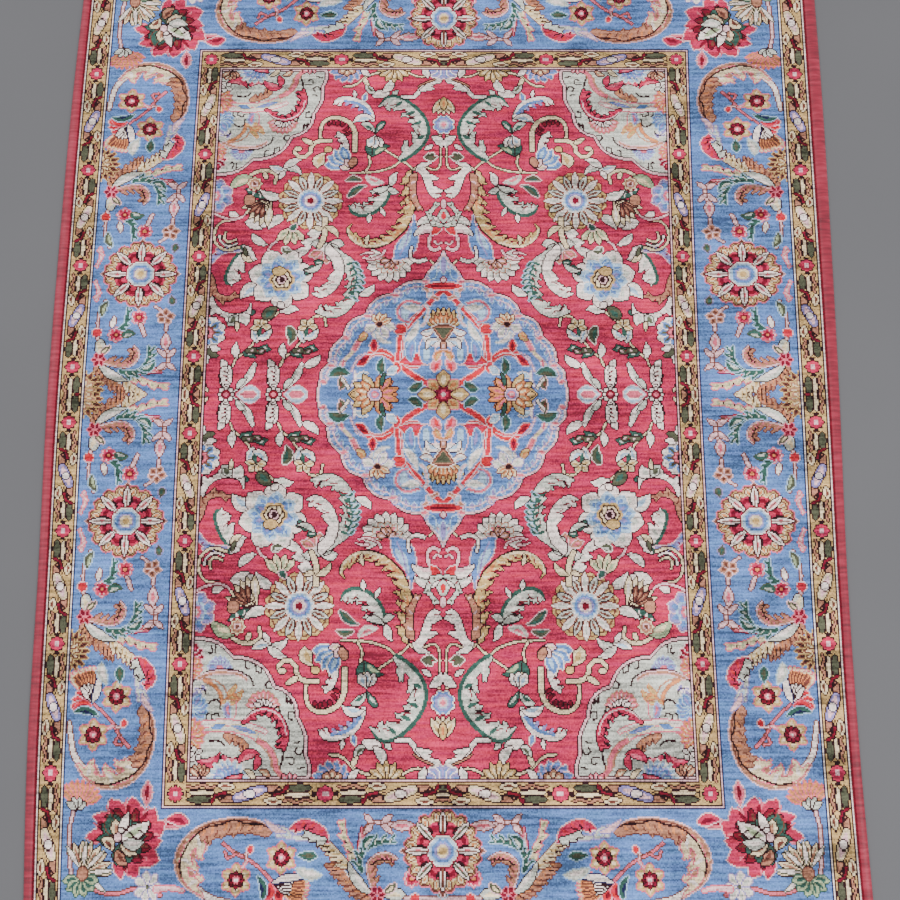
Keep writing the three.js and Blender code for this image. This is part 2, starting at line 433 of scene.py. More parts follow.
# Field: sixteen-petal rosette
SUN_ROSETTE = (177, 272)
rosette(SUN_ROSETTE, [(42, "gold"), (38.5, "umber"), (36.5, "gold"), (31, "camel")], 16, 0.1, 11.25,
        "deep")
petals(SUN_ROSETTE, 8, 12, 43, 8.5, "ivory", "umber", "sage", 0, 360, 0.6)
petals(SUN_ROSETTE, 8, 12, 39, 8, "sage", "brown", "umber", 22.5, 360, 0.6)
rosette(SUN_ROSETTE, [(18, "ivory"), (16.5, "pale"), (14, "blue"), (11, "lavender"), (8.5, "ivory"),
        (6.5, "pink"), (4.5, "deep")], 16, 0.1, 11.25)

# Field: trunk with its ivory leaf, the blossom above it and the leaves round the rosette
saz([(158, 240), (163, 226), (172, 211), (180, 198), (190, 190)], (10, 7), "ivory", "brown", 3, (9, 5), 1,
    9, 50, 0.25, 0.75, "sage")
petals((153, 212), 5, 2, 22, 12, "sage", "brown", "ivory", 190, 160)
petals((158, 200), 4, 2, 20, 9, "camel", "pink", "rose", 215, 120)
stem([(165, 203), (158, 220), (157, 248)], 6, "cream", "brown", 1.2)
leaf((158, 234), (139, 218), 4, 8, "cream", "brown")
leaf((159, 232), (172, 236), 2, 6, "cream", "brown")
saz([(158, 182), (166, 176), (174, 168), (181, 166)], (6, 4), "green", "brown", 3, (5, 4), 1, 6, 50, 0.1,
    0.8, "sage")
leaf((160, 181), (182, 171), 4, 7, "sage", "brown")
stem([(230, 199), (227, 207), (215, 216), (205, 222)], 3, "pink", "deep")
petals((202, 234), 4, 0, 27, 9, "cream", "brown", "leaf", 228, 84, 0.6)
leaf((203, 228), (194, 238), 0, 8, "green", "pink")
leaf((212, 205), (198, 199), -3, 9, "olive", "ivory", "sage")
stem([(281, 293), (264, 304), (252, 314), (236, 317), (224, 310), (226, 297)], 4.6, "cream", "brown", 0.8)
leaf((256, 307), (284, 289), -4, 15, "leaf", "brown", "cream")
rosette((252, 297), [(10, "cream"), (8, "camel"), (4.5, "pink"), (2.5, "umber")], 8, 0.2, 0, "deep")
leaf((240, 314), (236, 303), 0, 6, "cream", "brown")
leaf((214, 319), (190, 310), 6, 10, "ivory", "brown", "sage")
leaf((214, 320), (191, 333), 3, 10, "ivory", "brown", "sage")
leaf((210, 318), (234, 325), 3, 10, "ivory", "brown", "pale")
leaf((212, 316), (221, 304), 0, 7, "ivory", "brown")
petals((305, 279), 8, 6, 26, 17, "lavender", "pink", "blue", 22)
rosette((305, 279), [(15, "pale"), (12, "lavender"), (9, "rose"), (5, "ivory")], 8, 0.2)

# Field: the green and ivory feathered leaf between the medallion and the palmette
saz([(152, 208), (136, 198), (118, 184), (109, 164), (110, 142), (120, 121), (135, 108), (152, 107),
    (168, 114)], (19, 9), "sage", "brown", 9, (8, 8), 1, 8, 54, 0.08, 0.94, "ivory")
stem([(119, 184), (113, 164), (115, 146), (123, 131)], 6, "green", None, 0.7)
for x, y in ((122, 134), (117, 142), (115, 150), (113, 158), (114, 166), (116, 174), (120, 182)):
    leaf((x, y), (x - 10, y - 6), 1, 4.5, "green", "pale")
    leaf((x, y), (x + 9, y - 5), -1, 3.6, "green")
    leaf((x - 1, y - 1), (x - 6, y - 4), 0, 1.8, "sage")
saz([(152, 208), (138, 194), (132, 173), (137, 153), (147, 140), (160, 134), (172, 139)], (13, 8),
    "ivory", "brown", 4, (11, 7), 1, 10, 52, 0.4, 0.86, "sage")
leaf((110, 136), (90, 151), -3, 11, "ivory", "brown", "sage")

# Field: fan palmette with its blue neck
FAN_FOOT = (71, 186)
petals(FAN_FOOT, 10, 4, 32, 12, "ivory", "brown", "sage", 186, 196, 0.64)
petals(FAN_FOOT, 6, 2, 20, 9, "sage", "camel", "rose", 196, 168, 0.6)
petals(FAN_FOOT, 4, 0, 13, 8, "camel", "brown", "pink", 205, 140)
leaf((41, 258), (66, 186), 11, 25, "blue", "pink", "pale", 0.7)
stem([(58, 192), (50, 210), (44, 236)], 2, "lavender")
stem([(22, 187), (34, 184), (44, 190), (42, 206)], 4.5, "ivory", "brown", 0.7)
stem([(106, 190), (95, 187), (82, 193), (77, 201)], 2.6, "pink", "deep")
stem([(110, 193), (102, 196), (92, 196)], 2, "pink", "deep")

# Field: finial on the axis under the medallion
stem([(4, 204), (12, 200), (19, 206), (18, 222)], 4, "pink", "deep")
stem([(2, 212), (8, 208), (12, 214)], 3, "pink", "deep")
leaf((4, 226), (40, 220), -8, 13, "ivory", "brown", "pink")
leaf((4, 242), (37, 234), -7, 11, "ivory", "brown", "sage")
leaf((3, 238), (16, 222), 0, 11, "red", "pink")
saz([(0, 236), (12, 242), (17, 252), (10, 262), (1, 270)], (5, 4), "sage", "brown", 3, (3, 3), -1, 6, 60,
    0.2, 0.8, "olive")
leaf((0, 240), (0, 262), 0, 15, "sage", "brown", "red", 0.4)
leaf((1, 260), (1, 274), 0, 6, "pink", "deep")

# Medallion: cusped outline, pink line, feathered rim and blue ground
MEDALLION_LOBES = [((159, -19), (159, 19), 3), ((158, 19), (149, 41), 4.5), ((148, 41), (130, 79), 6.5),
                   ((130, 79), (102, 109), 8), ((102, 109), (67, 138), 8.5), ((67, 138), (27, 157), 6.5),
                   ((27, 157), (10, 182), 1.5), ((10, 182), (0, 203), -1.5)]


def cusped(lobes, closing):
    """The knots inside a row of bowed lobes that is closed through a few more points."""
    return inside(np.vstack([*(bowed(*lobe) for lobe in lobes), closing]))


medallion = cusped(MEDALLION_LOBES, [(-30, 203), (-30, -19)])
paint(medallion, "pink", "brown")
ground = ~grow(~medallion, 2)
paint(ground, "blue")
for start, end, bow in MEDALLION_LOBES[1:]:
    for foot in bowed(start, end, bow * 0.8, 4)[1:]:
        inward = np.array([0.3, -0.1]) * foot + (20, 0)
        aim = (inward - foot) / np.hypot(*(inward - foot))
        leaf(foot + aim * 3, foot + aim * 14, 2, 4.5, "lavender", "pale")
    stem(bowed(start, end, bow)[1:-1:2] * 0.945, 1.8, "pink")
paint(medallion & grow(~medallion, 2), "pink")
for (x, y), _, _ in MEDALLION_LOBES[1:7]:
    stem([(x, y), (x - 6, y - 2), (x - 9, y + 3), (x - 5, y + 6)], 2.4, "pink", "lavender")
    leaf((x - 9, y - 3), (x + 2, y - 1), 0, 4, "rose", "pink")

# Medallion: red straps and the light line that follow the rim
stem([(10, 8), (28, 19), (45, 30), (60, 44), (76, 56), (92, 56), (104, 44)], 6.5, "red", "pink", 1.3)
stem([(58, 42), (56, 66), (54, 84), (44, 97), (34, 108), (20, 124), (0, 144)], 8, "red", "pink", 0.8)
stem([(56, 46), (54, 68), (51, 84), (40, 103), (24, 122)], 1.7, "pink")
stem([(66, 50), (80, 56), (94, 54)], 1.7, "pink")
stem([(48, 40), (38, 38), (30, 42), (27, 54)], 6, "red", "pink", 0.8)
leaf((58, 42), (20, 40), 6, 17, "red", "pink", "crimson", 0.5)
leaf((92, 54), (112, 38), -2, 14, "red", "pink", "deep", 0.6)
leaf((90, 56), (90, 76), 0, 10, "red", "pink", "deep", 0.5)
oval((56, 89), 16, 14, "red", "pink")
leaf((64, 44), (60, 28), 3, 8, "red", "pink")
stem([(136, 26), (131, 42), (121, 53), (113, 66), (103, 82), (90, 90)], 4.5, "cream", "lavender")
stem([(134, 30), (128, 46)], 3, "rose", "pink")
stem([(116, 60), (109, 74)], 6, "rose", "pink")
leaf((100, 88), (111, 72), 2, 9, "gold", "umber", "orange")
leaf((120, 8), (117, 36), -5, 4, "ivory", "lavender")
stem([(119, 30), (113, 44), (101, 56)], 2, "pink", "lavender")

# Medallion: flowers, leaves and drops
petals((83, 96), 4, 2, 22, 12, "ivory", "lavender", "sage", 196, 140, 0.6)
leaf((88, 88), (66, 70), -6, 6, "ivory", "pale")
petals((83, 95), 4, 2, 17, 7, "cream", "umber", "orange", 55, 95)
oval((83, 96), 8, 7, "brown", "camel")
leaf((50, 72), (33, 100), -3, 9, "ivory", "pale", "sage")
oval((21, 59), 20, 36, "blue", "pink")
oval((22, 55), 9, 20, "pale")
leaf((42, 44), (38, 76), 3, 11, "blue", "pale", "lavender")
stem([(44, 98), (57, 104), (59, 118), (47, 128), (30, 124)], 3.4, "rose", "pale")
oval((50, 111), 11, 18, "pale", "lavender")
leaf((28, 120), (54, 122), 3, 9, "ivory", "pale", "sage")
leaf((18, 64), (28, 84), -3, 9, "ivory", "pale")
leaf((2, 66), (18, 66), -4, 9, "ivory", "pink")
petals((0, 84), 9, 3, 35, 8, "gold", "brown", "cream", 40, 100, 0.6)
petals((0, 84), 6, 3, 28, 6, "orange", "umber", "cream", 48, 84, 0.6)
leaf((6, 74), (22, 62), -4, 9, "ivory", "brown", "pale", 0.5)
leaf((12, 90), (30, 84), 3, 8, "ivory", "umber", "pale", 0.5)
paint(inside([(-14, 92), (0, 68), (15, 91), (8, 95), (-8, 95)]), "umber", "ivory")
paint(inside([(-10, 91), (0, 75), (11, 90)]), "olive", "camel")
leaf((-2, 58), (2, 72), 0, 8, "camel", "brown", "pink")
stem([(30, 92), (23, 100), (20, 116), (24, 124)], 3, "pink", "pale")
leaf((46, 7), (27, 18), -3, 11, "green", "pale", "olive")
leaf((78, 26), (78, 50), 3, 10, "green", "pale", "olive")
leaf((72, 27), (60, 38), 0, 9, "pale", "ivory")
leaf((147, 24), (119, 27), 5, 13, "green", "pale", "olive")
leaf((133, 24), (133, 6), 3, 10, "olive", "pink", "umber")
stem([(131, 22), (121, 8)], 3, "ivory", "olive")
leaf((112, 22), (96, 28), 2, 6, "pale", "ivory")
leaf((12, 30), (2, 46), 3, 12, "rose", "pink", "red")
leaf((10, 44), (0, 60), 3, 8, "orange", "pink", "gold")
stem([(6, 130), (16, 136), (24, 146)], 3, "camel", "pink")
leaf((14, 142), (22, 132), 0, 6, "pale", "pink")

# Medallion: side palmette, the lens and dot at its end, and the centre rosette
leaf((100, 0), (122, 0), 0, 22, "gold", "brown", "cream", 0.4)
petals((86, 0), 9, 4, 27, 8, "orange", "umber", "gold", 20, 360, 0.55)
petals((88, 0), 5, 3, 32, 12, "gold", "brown", "cream", -60, 120, 0.5)
petals((88, 0), 4, 3, 26, 8, "orange", "umber", "cream", -45, 90, 0.5)
petals((84, 0), 4, 3, 28, 9, "orange", "brown", "rose", 126, 108, 0.5)
leaf((78, 10), (73, 30), 3, 5, "green", "brown")
rosette((88, 0), [(9.5, "pink"), (7.5, "lavender"), (5, "rose"), (2.5, "pink")], 6, 0.16, 0, "brown")
leaf((26, 149), (-24, 149), 0, 11, "red", "pink", "deep")
oval((0, 158), 8, 7, "pink", "deep")
leaf((18, 158), (9, 174), 0, 8, "blue", "pale")
leaf((0, 166), (0, 192), 0, 8, "lavender", "pale")
petals((0, 0), 4, 6, 33, 16, "gold", "umber", "cream", 0, 360, 0.6)
petals((0, 0), 4, 6, 28, 12, "gold", "rose", "orange", 45, 360, 0.6)
petals((0, 0), 8, 8, 20, 3, "umber", None, None, 22.5)
rosette((0, 0), [(12, "brown"), (10.5, "deep"), (7, "crimson"), (4, "pink"), (2, "ivory")], 8, 0.2, 22.5)

# Corner piece: cusped outline with its light band, sage ground, and a brown line that curls inside the rim
CORNER_LOBES = [((308, 311), (256, 332), -9), ((256, 332), (204, 367), -11), ((204, 367), (175, 404), -9),
                ((175, 404), (164, 446), -5), ((164, 446), (160, 474), -3)]
corner = cusped(CORNER_LOBES, [(310, 474)])
paint(corner, "pink", "brown")
paint(~grow(~corner, 3), "sage", "brown")
quarter.gap = "brown"
for path in ([(283, 319), (281, 328), (286, 329)], [(277, 320), (278, 329)],
             [(241, 338), (240, 346), (235, 348)],
             [(233, 341), (229, 342), (227, 350), (222, 352), (220, 346)],
             [(209, 362), (215, 364), (214, 370), (207, 370)],
             [(190, 378), (189, 388), (186, 384), (184, 390)],
             [(179, 399), (186, 398), (187, 405), (181, 407)], [(172, 432), (180, 434)],
             [(168, 440), (171, 446), (178, 444), (175, 438)], [(166, 460), (174, 463)]):
    stem(path, 2.2, "brown")
petals((308, 332), 5, 2, 17, 8, "deep", "pink", "crimson", 110, 130)
petals((306, 346), 6, 1, 14, 7, "orange", "rose", "cream", 100, 160)

# Corner piece: cloud, arch and the gold sprig under it
petals((272, 347), 7, 1, 15, 8, "lavender", "pale", "blue", 190, 160)
oval((272, 346), 8, 5, "rose", "lavender")
stem([(304, 363), (290, 353), (280, 349), (262, 348), (248, 350), (240, 354), (233, 359), (230, 368)],
     2.2, "brown")
stem([(298, 359), (280, 352.5), (262, 352), (248, 354), (238, 360)], 3, "camel", "pink", 0.7)
stem([(291, 360), (278, 367), (270, 377), (267, 388)], 2.6, "orange", "camel")
stem([(290, 358), (275, 362), (265, 370), (261, 378)], 2.2, "camel")
leaf((268, 386), (243, 372), 5, 9, "gold", "orange", "cream")
leaf((262, 382), (247, 384), -3, 7, "orange", "camel", "gold")
leaf((262, 378), (252, 366), 2, 5, "gold", "orange")
for start, tip in (((300, 368), (290, 378)), ((292, 366), (286, 372)), ((304, 380), (298, 372))):
    leaf(start, tip, 2, 6, "lavender", "ivory")
petals((303, 394), 6, 2, 19, 9, "blue", "pale", "lavender", 120, 120)
stem([(296, 370), (290, 371), (287, 377)], 2, "brown")
stem([(284, 389), (278, 384), (271, 385), (269, 394), (262, 394), (261, 402), (268, 408), (277, 408),
     (279, 402), (273, 399), (270, 403)], 2.2, "brown")
stem([(283, 398), (286, 404), (284, 410)], 2, "brown")
leaf((261, 386), (257, 407), 2, 8, "lavender", "pale", "rose")
stem([(251, 386), (250, 398), (254, 408)], 1.8, "rose")

# Corner piece: blue band, orange feather and the crimson leaves over the blue cloud
stem([(298, 414), (280, 411), (262, 410), (244, 411), (228, 415), (213, 421)], 7, "ivory", "rose", 0.5)
leaf((280, 416), (261, 411), 1, 7, "blue", "cream")
leaf((256, 414), (222, 424), -1, 6, "blue", "cream", "lavender")
stem([(300, 416), (288, 421), (262, 420), (240, 424), (226, 430)], 1.9, "rose")
petals((306, 424), 7, 0, 20, 7, "orange", "rose", "cream", 105, 150)
saz([(264, 424), (252, 425), (242, 430), (236, 436), (238, 444)], (5, 4), "camel", "umber", 5, (5, 5), -1,
    4, 60, 0.1, 0.9, "orange")
stem([(282, 431), (270, 431), (262, 437)], 2.2, "brown")
for start, end, bow in (((296, 453), (268, 444), 8), ((265, 447), (245, 449), 8),
                        ((220, 447), (247, 457), 6)):
    leaf(start, end, bow, 11, "crimson", "brown", "rose")
leaf((224, 446), (227, 464), -3, 8, "crimson", "brown")
petals((258, 477), 9, 2, 26, 9, "pale", "ivory", "blue", -170, 160)
petals((258, 477), 6, 2, 18, 8, "blue", "lavender", "pale", -160, 140)
leaf((262, 474), (240, 468), 3, 9, "crimson", "brown", "rose")
petals((298, 446), 5, 1, 9, 6, "ivory", "brown", "sage", 60, 300)
petals((292, 472), 5, 1, 16, 6, "camel", "brown", "cream", -140, 100)

# Corner piece: spiky flower, crimson feathered crescent and the rose band that runs down to the flowers
petals((218, 394), 9, 4, 21, 6, "rose", "camel", "pink", -165, 150, 0.7)
petals((218, 394), 5, 2, 12, 6, "ivory", "brown", None, -150, 120, 0.6)
stem([(206, 398), (200, 391), (197, 398)], 2, "brown")
saz([(243, 411), (230, 398), (214, 393), (200, 399), (190, 412), (187, 428), (192, 444)], (4, 9),
    "crimson", "brown", 8, (5, 8), -1, 4.5, 62, 0.12, 0.94, "deep")
stem([(240, 406), (228, 397), (214, 395), (201, 400), (192, 411), (189, 424)], 1.8, "pink")
stem([(192, 442), (193, 452), (197, 464)], 2.6, "brown")
stem([(190, 450), (180, 450), (180, 457), (187, 456)], 2, "brown")
stem([(224, 430), (211, 438), (203, 450), (199, 464), (188, 474)], 5, "rose", "camel")
stem([(218, 438), (209, 448), (205, 462)], 1.8, "camel")
leaf((226, 474), (238, 464), 2, 6, "cream", "brown")
leaf((208, 472), (221, 464), 2, 6, "camel", "brown", "cream")
petals((184, 480), 5, 2, 14, 6, "rose", "brown", "pink", -160, 140)

# Main border: blue ground between the two guards
FIELD_X, FIELD_Y = 187, 292
INNER_GUARD_X, INNER_GUARD_Y = 208, 313
BORDER_X, BORDER_Y = 279, 375
column, row = np.meshgrid(np.arange(QUARTER_COLUMNS), np.arange(QUARTER_ROWS))
border = ((column >= INNER_GUARD_X) | (row >= INNER_GUARD_Y)) & (column < BORDER_X) & (row < BORDER_Y)
paint(border, "blue")
quarter.gap = "brown"

# The short side's band starts at its own height, is a little narrower, and its motifs are drawn out along it
SIDE_BAND_START, END_BAND_START = 337.0, 507.5
END_BAND_WIDTH, END_STRETCH, END_SHIFT = 0.93, 1.2, 265


def border_corner(x, y, hand):
    """Where a place beside the corner falls: on the long side (1), or mirrored onto the short side (-1)."""
    if hand == 1:
        return x, y
    return y * END_STRETCH - END_SHIFT, END_BAND_START + (x - SIDE_BAND_START) * END_BAND_WIDTH


# Main border: leaf groups and small flowers; each long side has two, the second the mirror image of the first
# about a line half SIDE_MIRROR up the side
SIDE_MIRROR = 332
for fold, hand in ((1, 1), (-1, 1), (-1, -1)):
    def at(x, y):
        return border_corner(x, y if fold == 1 else SIDE_MIRROR - y, hand)
    way = fold * hand
    saz([at(436, 46), at(430, 34), at(420, 22), at(408, 13), at(397, 4)], (5, 5), "camel", "umber", 9,
        (13, 11), way, 4, 46, 0.08, 0.92, "orange", "ivory", 2)
    saz([at(404, 22), at(392, 12), at(380, 3), at(368, -8)], (6, 6), "cream", "umber", 6, (12, 11), way,
        5, 40, 0.1, 0.9, "gold")
    saz([at(400, 26), at(384, 22), at(366, 15), at(348, 13)], (5, 4), "cream", "rose", 4, (7, 6), way, 6,
        35, 0.1, 0.85, "leaf")
    leaf(at(398, 26), at(356, 30), 4 * way, 9, "rose", "deep", "pink")
    leaf(at(438, 44), at(398, 18), -5 * way, 11, "sage", "brown", "ivory", 0.5)
    saz([at(432, 43), at(414, 38), at(400, 38), at(391, 46), at(389, 57), at(396, 67)], (5, 4), "camel",
        "umber", 9, (9, 7), -way, 3.6, 58, 0.08, 0.9, "rose", "pink", 1.7)
    saz([at(412, 33), at(396, 31), at(384, 37), at(377, 50), at(376, 66)], (5, 4), "green", "pale", 7,
        (8, 7), way, 4, 50, 0.15, 0.9, "sage")
    leaf(at(386, 34), at(368, 44), -4 * way, 9, "green", "pale", "sage")
    stem([at(362, 33), at(352, 40), at(353, 55), at(356, 70)], 3, "pink", "umber")
    for start, tip in (((353, 42), (366, 33)), ((353, 42), (342, 33)), ((353, 50), (366, 62)),
                       ((353, 50), (343, 62))):
        leaf(at(*start), at(*tip), 0, 6, "pink", "umber")
    leaf(at(356, 60), at(356, 84), 0, 11, "pink", "umber", "rose")
    leaf(at(437, 50), at(441, 78), -3 * way, 13, "sage", "brown", "cream")
    leaf(at(436, 54), at(424, 66), 0, 8, "olive", "pink", "cream")
    petals(at(437, 47), 6, 1, 9, 5, "deep", "rose")
    stem([at(441, 74), at(441, 108), at(433, 130)], 3, "pink", "umber")
    rosette(at(442, 84), [(7, "pink"), (5.8, "red")], 8, 0.08)
    for x, y in ((418, 81), (391, 105)):
        rosette(at(x, y), [(9.5, "pink"), (8.2, "crimson"), (5, "deep"), (2.6, "orange")], 8, 0.26, 0,
                "rose")
    leaf(at(410, 77), at(394, 81), 4 * way, 9, "green", "olive", "sage")
    stem([at(382, 79), at(389, 97)], 4, "pink", "umber")
    saz([at(416, 90), at(408, 98), at(406, 120)], (3, 3), "green", "pale", 4, (6, 4), way, 4, 50, 0.15,
        0.85)
    leaf(at(424, 90), at(421, 108), 0, 6, "ivory", "umber")
    stem([at(372, 121), at(362, 112), at(356, 98), at(357, 86)], 3, "pink", "umber")
    petals(at(358, 106), 5, 1, 11, 8, "camel", "pink", "umber", 20, 300)
    leaf(at(350, 122), at(352, 136), 0, 8, "olive", "lavender", "green")
    leaf(at(437, 106), at(430, 128), 3 * way, 9, "olive", "pale", "leaf")
    stem([at(446, 128), at(444, 142), at(449, 156)], 4, "pink", "rose", 0.6)
    stem([at(449, 132), at(441, 140)], 3, "pink", "rose", 0.6)
for y, heart in ((6, "camel"), (326, "umber")):
    petals((455, y), 9, 3, 27, 6, "umber", "gold", "brown", 95, 170)
    petals((455, y), 5, 3, 17, 6, heart, "gold", "cream", 110, 140)

# Main border: star rosettes
for x, y in ((393, 166), (0, 553)):
    petals((x, y), 4, 28, 50, 10, "umber", "pink", "brown", 0)
    rosette((x, y), [(46, "umber"), (44, "gold"), (39.5, "cream"), (37, "gold"), (34, "umber")], 16, 0.14,
            11.25, "rose")
    rosette((x, y), [(33, "crimson"), (30, "deep"), (25, "crimson")], 8, 0.22, 22.5)
    for turn in range(16):
        aim = turned((1.0, 0.0), turn * 22.5 + 11.25)
        leaf((x, y) + aim * 32, (x, y) + aim * 43, 0, 6, "cream", "umber", "orange", 0.5)
        leaf((x, y) + aim * 20, (x, y) + aim * 33, 1, 2.6, "brown")
    petals((x, y), 8, 13, 45, 8, "ivory", "brown", "rose", 0, 360, 0.56)
    for turn in range(8):
        aim = turned((1.0, 0.0), turn * 45)
        stem([(x, y) + aim * 18, (x, y) + aim * 30, (x, y) + aim * 40], 1.8,
             "olive" if turn % 2 else "umber")
    rosette((x, y), [(18, "ivory"), (16.5, "pale"), (13.5, "blue"), (10, "lavender"), (7.5, "cream"),
            (4.5, "gold")], 8, 0.08, 22.5, "deep")

# Main border: scrolls, one on each side of the corner, with their flowers, sprigs and tulips
for hand in (1, -1):
    def at(x, y):
        return border_corner(x, y, hand)
    stem([at(449, 408), at(446, 430), at(441, 448), at(430, 462), at(414, 475)], 4, "ivory", "umber", 2)
    saz([at(361, 390), at(351, 404), at(348, 424), at(351, 446), at(361, 466), at(379, 480), at(402, 484),
        at(424, 476), at(440, 456)], (13, 6), "camel", "pink", 4, (20, 13), -hand, 14, 64, 0.44, 0.86,
        "cream", None, 3, "rose")
    saz([at(363, 460), at(378, 474), at(402, 479), at(424, 472), at(438, 456)], (11, 4), "cream", "rose",
        3, (17, 12), -hand, 11, 64, 0.1, 0.8, "ivory", None, 3, "rose")
    saz([at(363, 390), at(354, 404), at(351, 424), at(354, 446), at(361, 462)], (9, 16), "camel", "umber",
        6, (3, 7), -hand, 8, 58, 0.2, 0.94, "orange", None, 3, "umber")
    stem([at(362, 388), at(355, 400), at(353, 418), at(349, 428), at(355, 442), at(358, 455),
         at(370, 468), at(384, 475), at(400, 480), at(416, 478)], 2.2, "brown")
    stem([at(366, 386), at(371, 360), at(372, 345), at(366, 336)], 5, "sage", "lavender", 0.5)
    stem([at(422, 388), at(405, 402), at(395, 414), at(388, 426), at(376, 439)], 2.4, "rose", "umber",
         1.2)
    stem([at(395, 414), at(388, 415), at(385, 408)], 2, "pink", "umber")
    oval(at(384, 411), 7, 8, "red", "pink")
    stem([at(389, 424), at(394, 433), at(386, 436)], 2, "rose", "umber")
    stem([at(396, 413), at(408, 419), at(414, 420)], 2, "pink", "rose")
    for x, y in ((394, 380), (420, 424)):
        petals(at(x, y), 6, 4, 18.5, 11, "gold", "rose", "cream", 30, 360, 0.48)
        petals(at(x, y), 8, 2, 9.5, 6, "deep", "brown", None, 0, 360, 0.6)
        rosette(at(x, y), [(4.5, "rose"), (2, "ivory")], 8, 0.16, 22.5)
    first = -104 if hand == 1 else 146
    petals(at(424, 390), 3, 4, 24, 10, "red", "pink", "deep", first + 64 * hand, 44, 0.66)
    petals(at(424, 390), 9, 4, 46, 8, "cream", "rose", "red", first, 50, 0.74)
    petals(at(424, 389), 8, 12, 40, 4.5, "umber", "orange", None, first + 3, 44, 0.66)
    petals(at(424, 388), 5, 2, 24, 5, "ivory", "brown", None, first + 4, 44, 0.6)
    leaf(at(424, 391), at(444, 394), 3 * hand, 10, "red", "rose", "deep")
    leaf(at(423, 388), at(417, 352), 3 * hand, 8, "ivory", "navy")
    leaf(at(414, 340), at(406, 366), 3 * hand, 11, "sage", "pale", "ivory")
    leaf(at(392, 344), at(391, 364), 0, 10, "green", "pale", "olive")
    saz([at(376, 334), at(362, 337), at(352, 348), at(350, 362), at(360, 373)], (13, 9), "crimson",
        "pink", 4, (4, 3), -hand, 7, 60, 0.3, 0.9, "red")
    saz([at(372, 336), at(368, 346), at(362, 358)], (7, 6), "sage", "brown", 3, (4, 3), -hand, 4, 60, 0.2,
        0.9)
    leaf(at(371, 370), at(356, 386), 0, 9, "sage", "lavender", "pale")
    leaf(at(364, 376), at(348, 398), 3 * hand, 6, "pink", "lavender")
    leaf(at(444, 398), at(414, 404), -5 * hand, 8, "green", "pale", "navy")
    leaf(at(353, 476), at(354, 504), 0, 12, "rose", "pink", "deep")

# Main border: crimson palmette in the corner with its green and cream heart, and the flowers round it
stem([(440, 508), (444, 530), (443, 560), (440, 580)], 3, "pink", "umber")
stem([(424, 592), (390, 600), (360, 594), (330, 602)], 3, "rose", "umber")
CORNER_FLOWER = (378, 538)
LOBES = [(2, 47, 13), (-12, 36, 12), (-31, 45, 15), (-46, 36, 14), (-64, 46, 19), (-82, 38, 16),
         (-98, 45, 20), (-118, 39, 18), (-137, 47, 22), (-160, 50, 22), (176, 44, 18), (149, 50, 23),
         (130, 40, 16), (112, 47, 19), (88, 46, 14)]
for edge in ("pink", None):
    for turn, out, wide in LOBES:
        aim = turned((1.0, 0.0), turn)
        leaf(CORNER_FLOWER + aim * 8, CORNER_FLOWER + aim * out, 4, wide, "crimson", edge, None, 0.62)
for turn, out, wide in LOBES[::2]:
    aim = turned((1.0, 0.0), turn + 6)
    leaf(CORNER_FLOWER + aim * 20, CORNER_FLOWER + aim * out * 0.86, 2, 5, "deep")
    leaf(CORNER_FLOWER + aim * 30, CORNER_FLOWER + aim * out * 0.97, -2, 3, "rose")
for turn in (-20, -44, -66, -110, -150, -172, 160, 128, 96):
    aim = turned((1.0, 0.0), turn)
    leaf(CORNER_FLOWER + aim * 12, CORNER_FLOWER + aim * 34, 3, 9, "deep", "brown", "umber", 0.6)
petals((382, 540), 9, 4, 29, 13, "green", "brown", "olive", 80, 280)
leaf((386, 536), (396, 512), -4, 14, "green", "umber", "olive")
petals((386, 544), 5, 3, 26, 12, "cream", "brown", "camel", 150, 130)
leaf((384, 540), (350, 520), 4, 18, "ivory", "brown", "leaf")
leaf((380, 544), (354, 543), 2, 13, "sage", "brown", "ivory")
leaf((384, 534), (374, 510), 0, 10, "ivory", "brown")
leaf((392, 552), (406, 540), 3, 12, "cream", "brown", "umber")
leaf((386, 552), (374, 568), 3, 12, "camel", "brown", "umber")
stem([(388, 526), (376, 530), (364, 540), (356, 534), (362, 530)], 2, "brown")
oval((386, 538), 9, 9, "pink", "brown")
petals((427, 577), 7, 4, 36, 7, "cream", "brown", "camel", -70, -110, 0.62)
petals((427, 577), 5, 6, 36, 4.5, "ivory", "olive", None, -56, -160)
petals((429, 582), 6, 2, 22, 10, "leaf", "green", "green", 10, 160)
oval((427, 578), 12, 14, "camel", "umber")
petals((435, 505), 9, 4, 31, 6, "orange", "rose", "camel", -155, 110, 0.6)
petals((437, 508), 4, 0, 15, 7, "sage", "brown", None, -140, 100)
oval((437, 509), 3, 4, "brown")
petals((348, 592), 7, 2, 18, 9, "ivory", "lavender", "sage", 30, 300)
oval((348, 592), 5, 4, "olive")
stem([(340, 595), (322, 593), (304, 597)], 6, "pink", "rose", 0.5)
leaf((302, 523), (330, 519), 3, 13, "crimson", "pink", "deep")

# One repeat of the guards, from rosette to rosette, drawn lying down with the field below it
REPEAT_LENGTH, GUARD_GROUND, GUARD_LINES = 90, 15, 3
GUARD_ROSETTE = [(10.2, "brown"), (8.4, "crimson"), (3.2, "pink")]


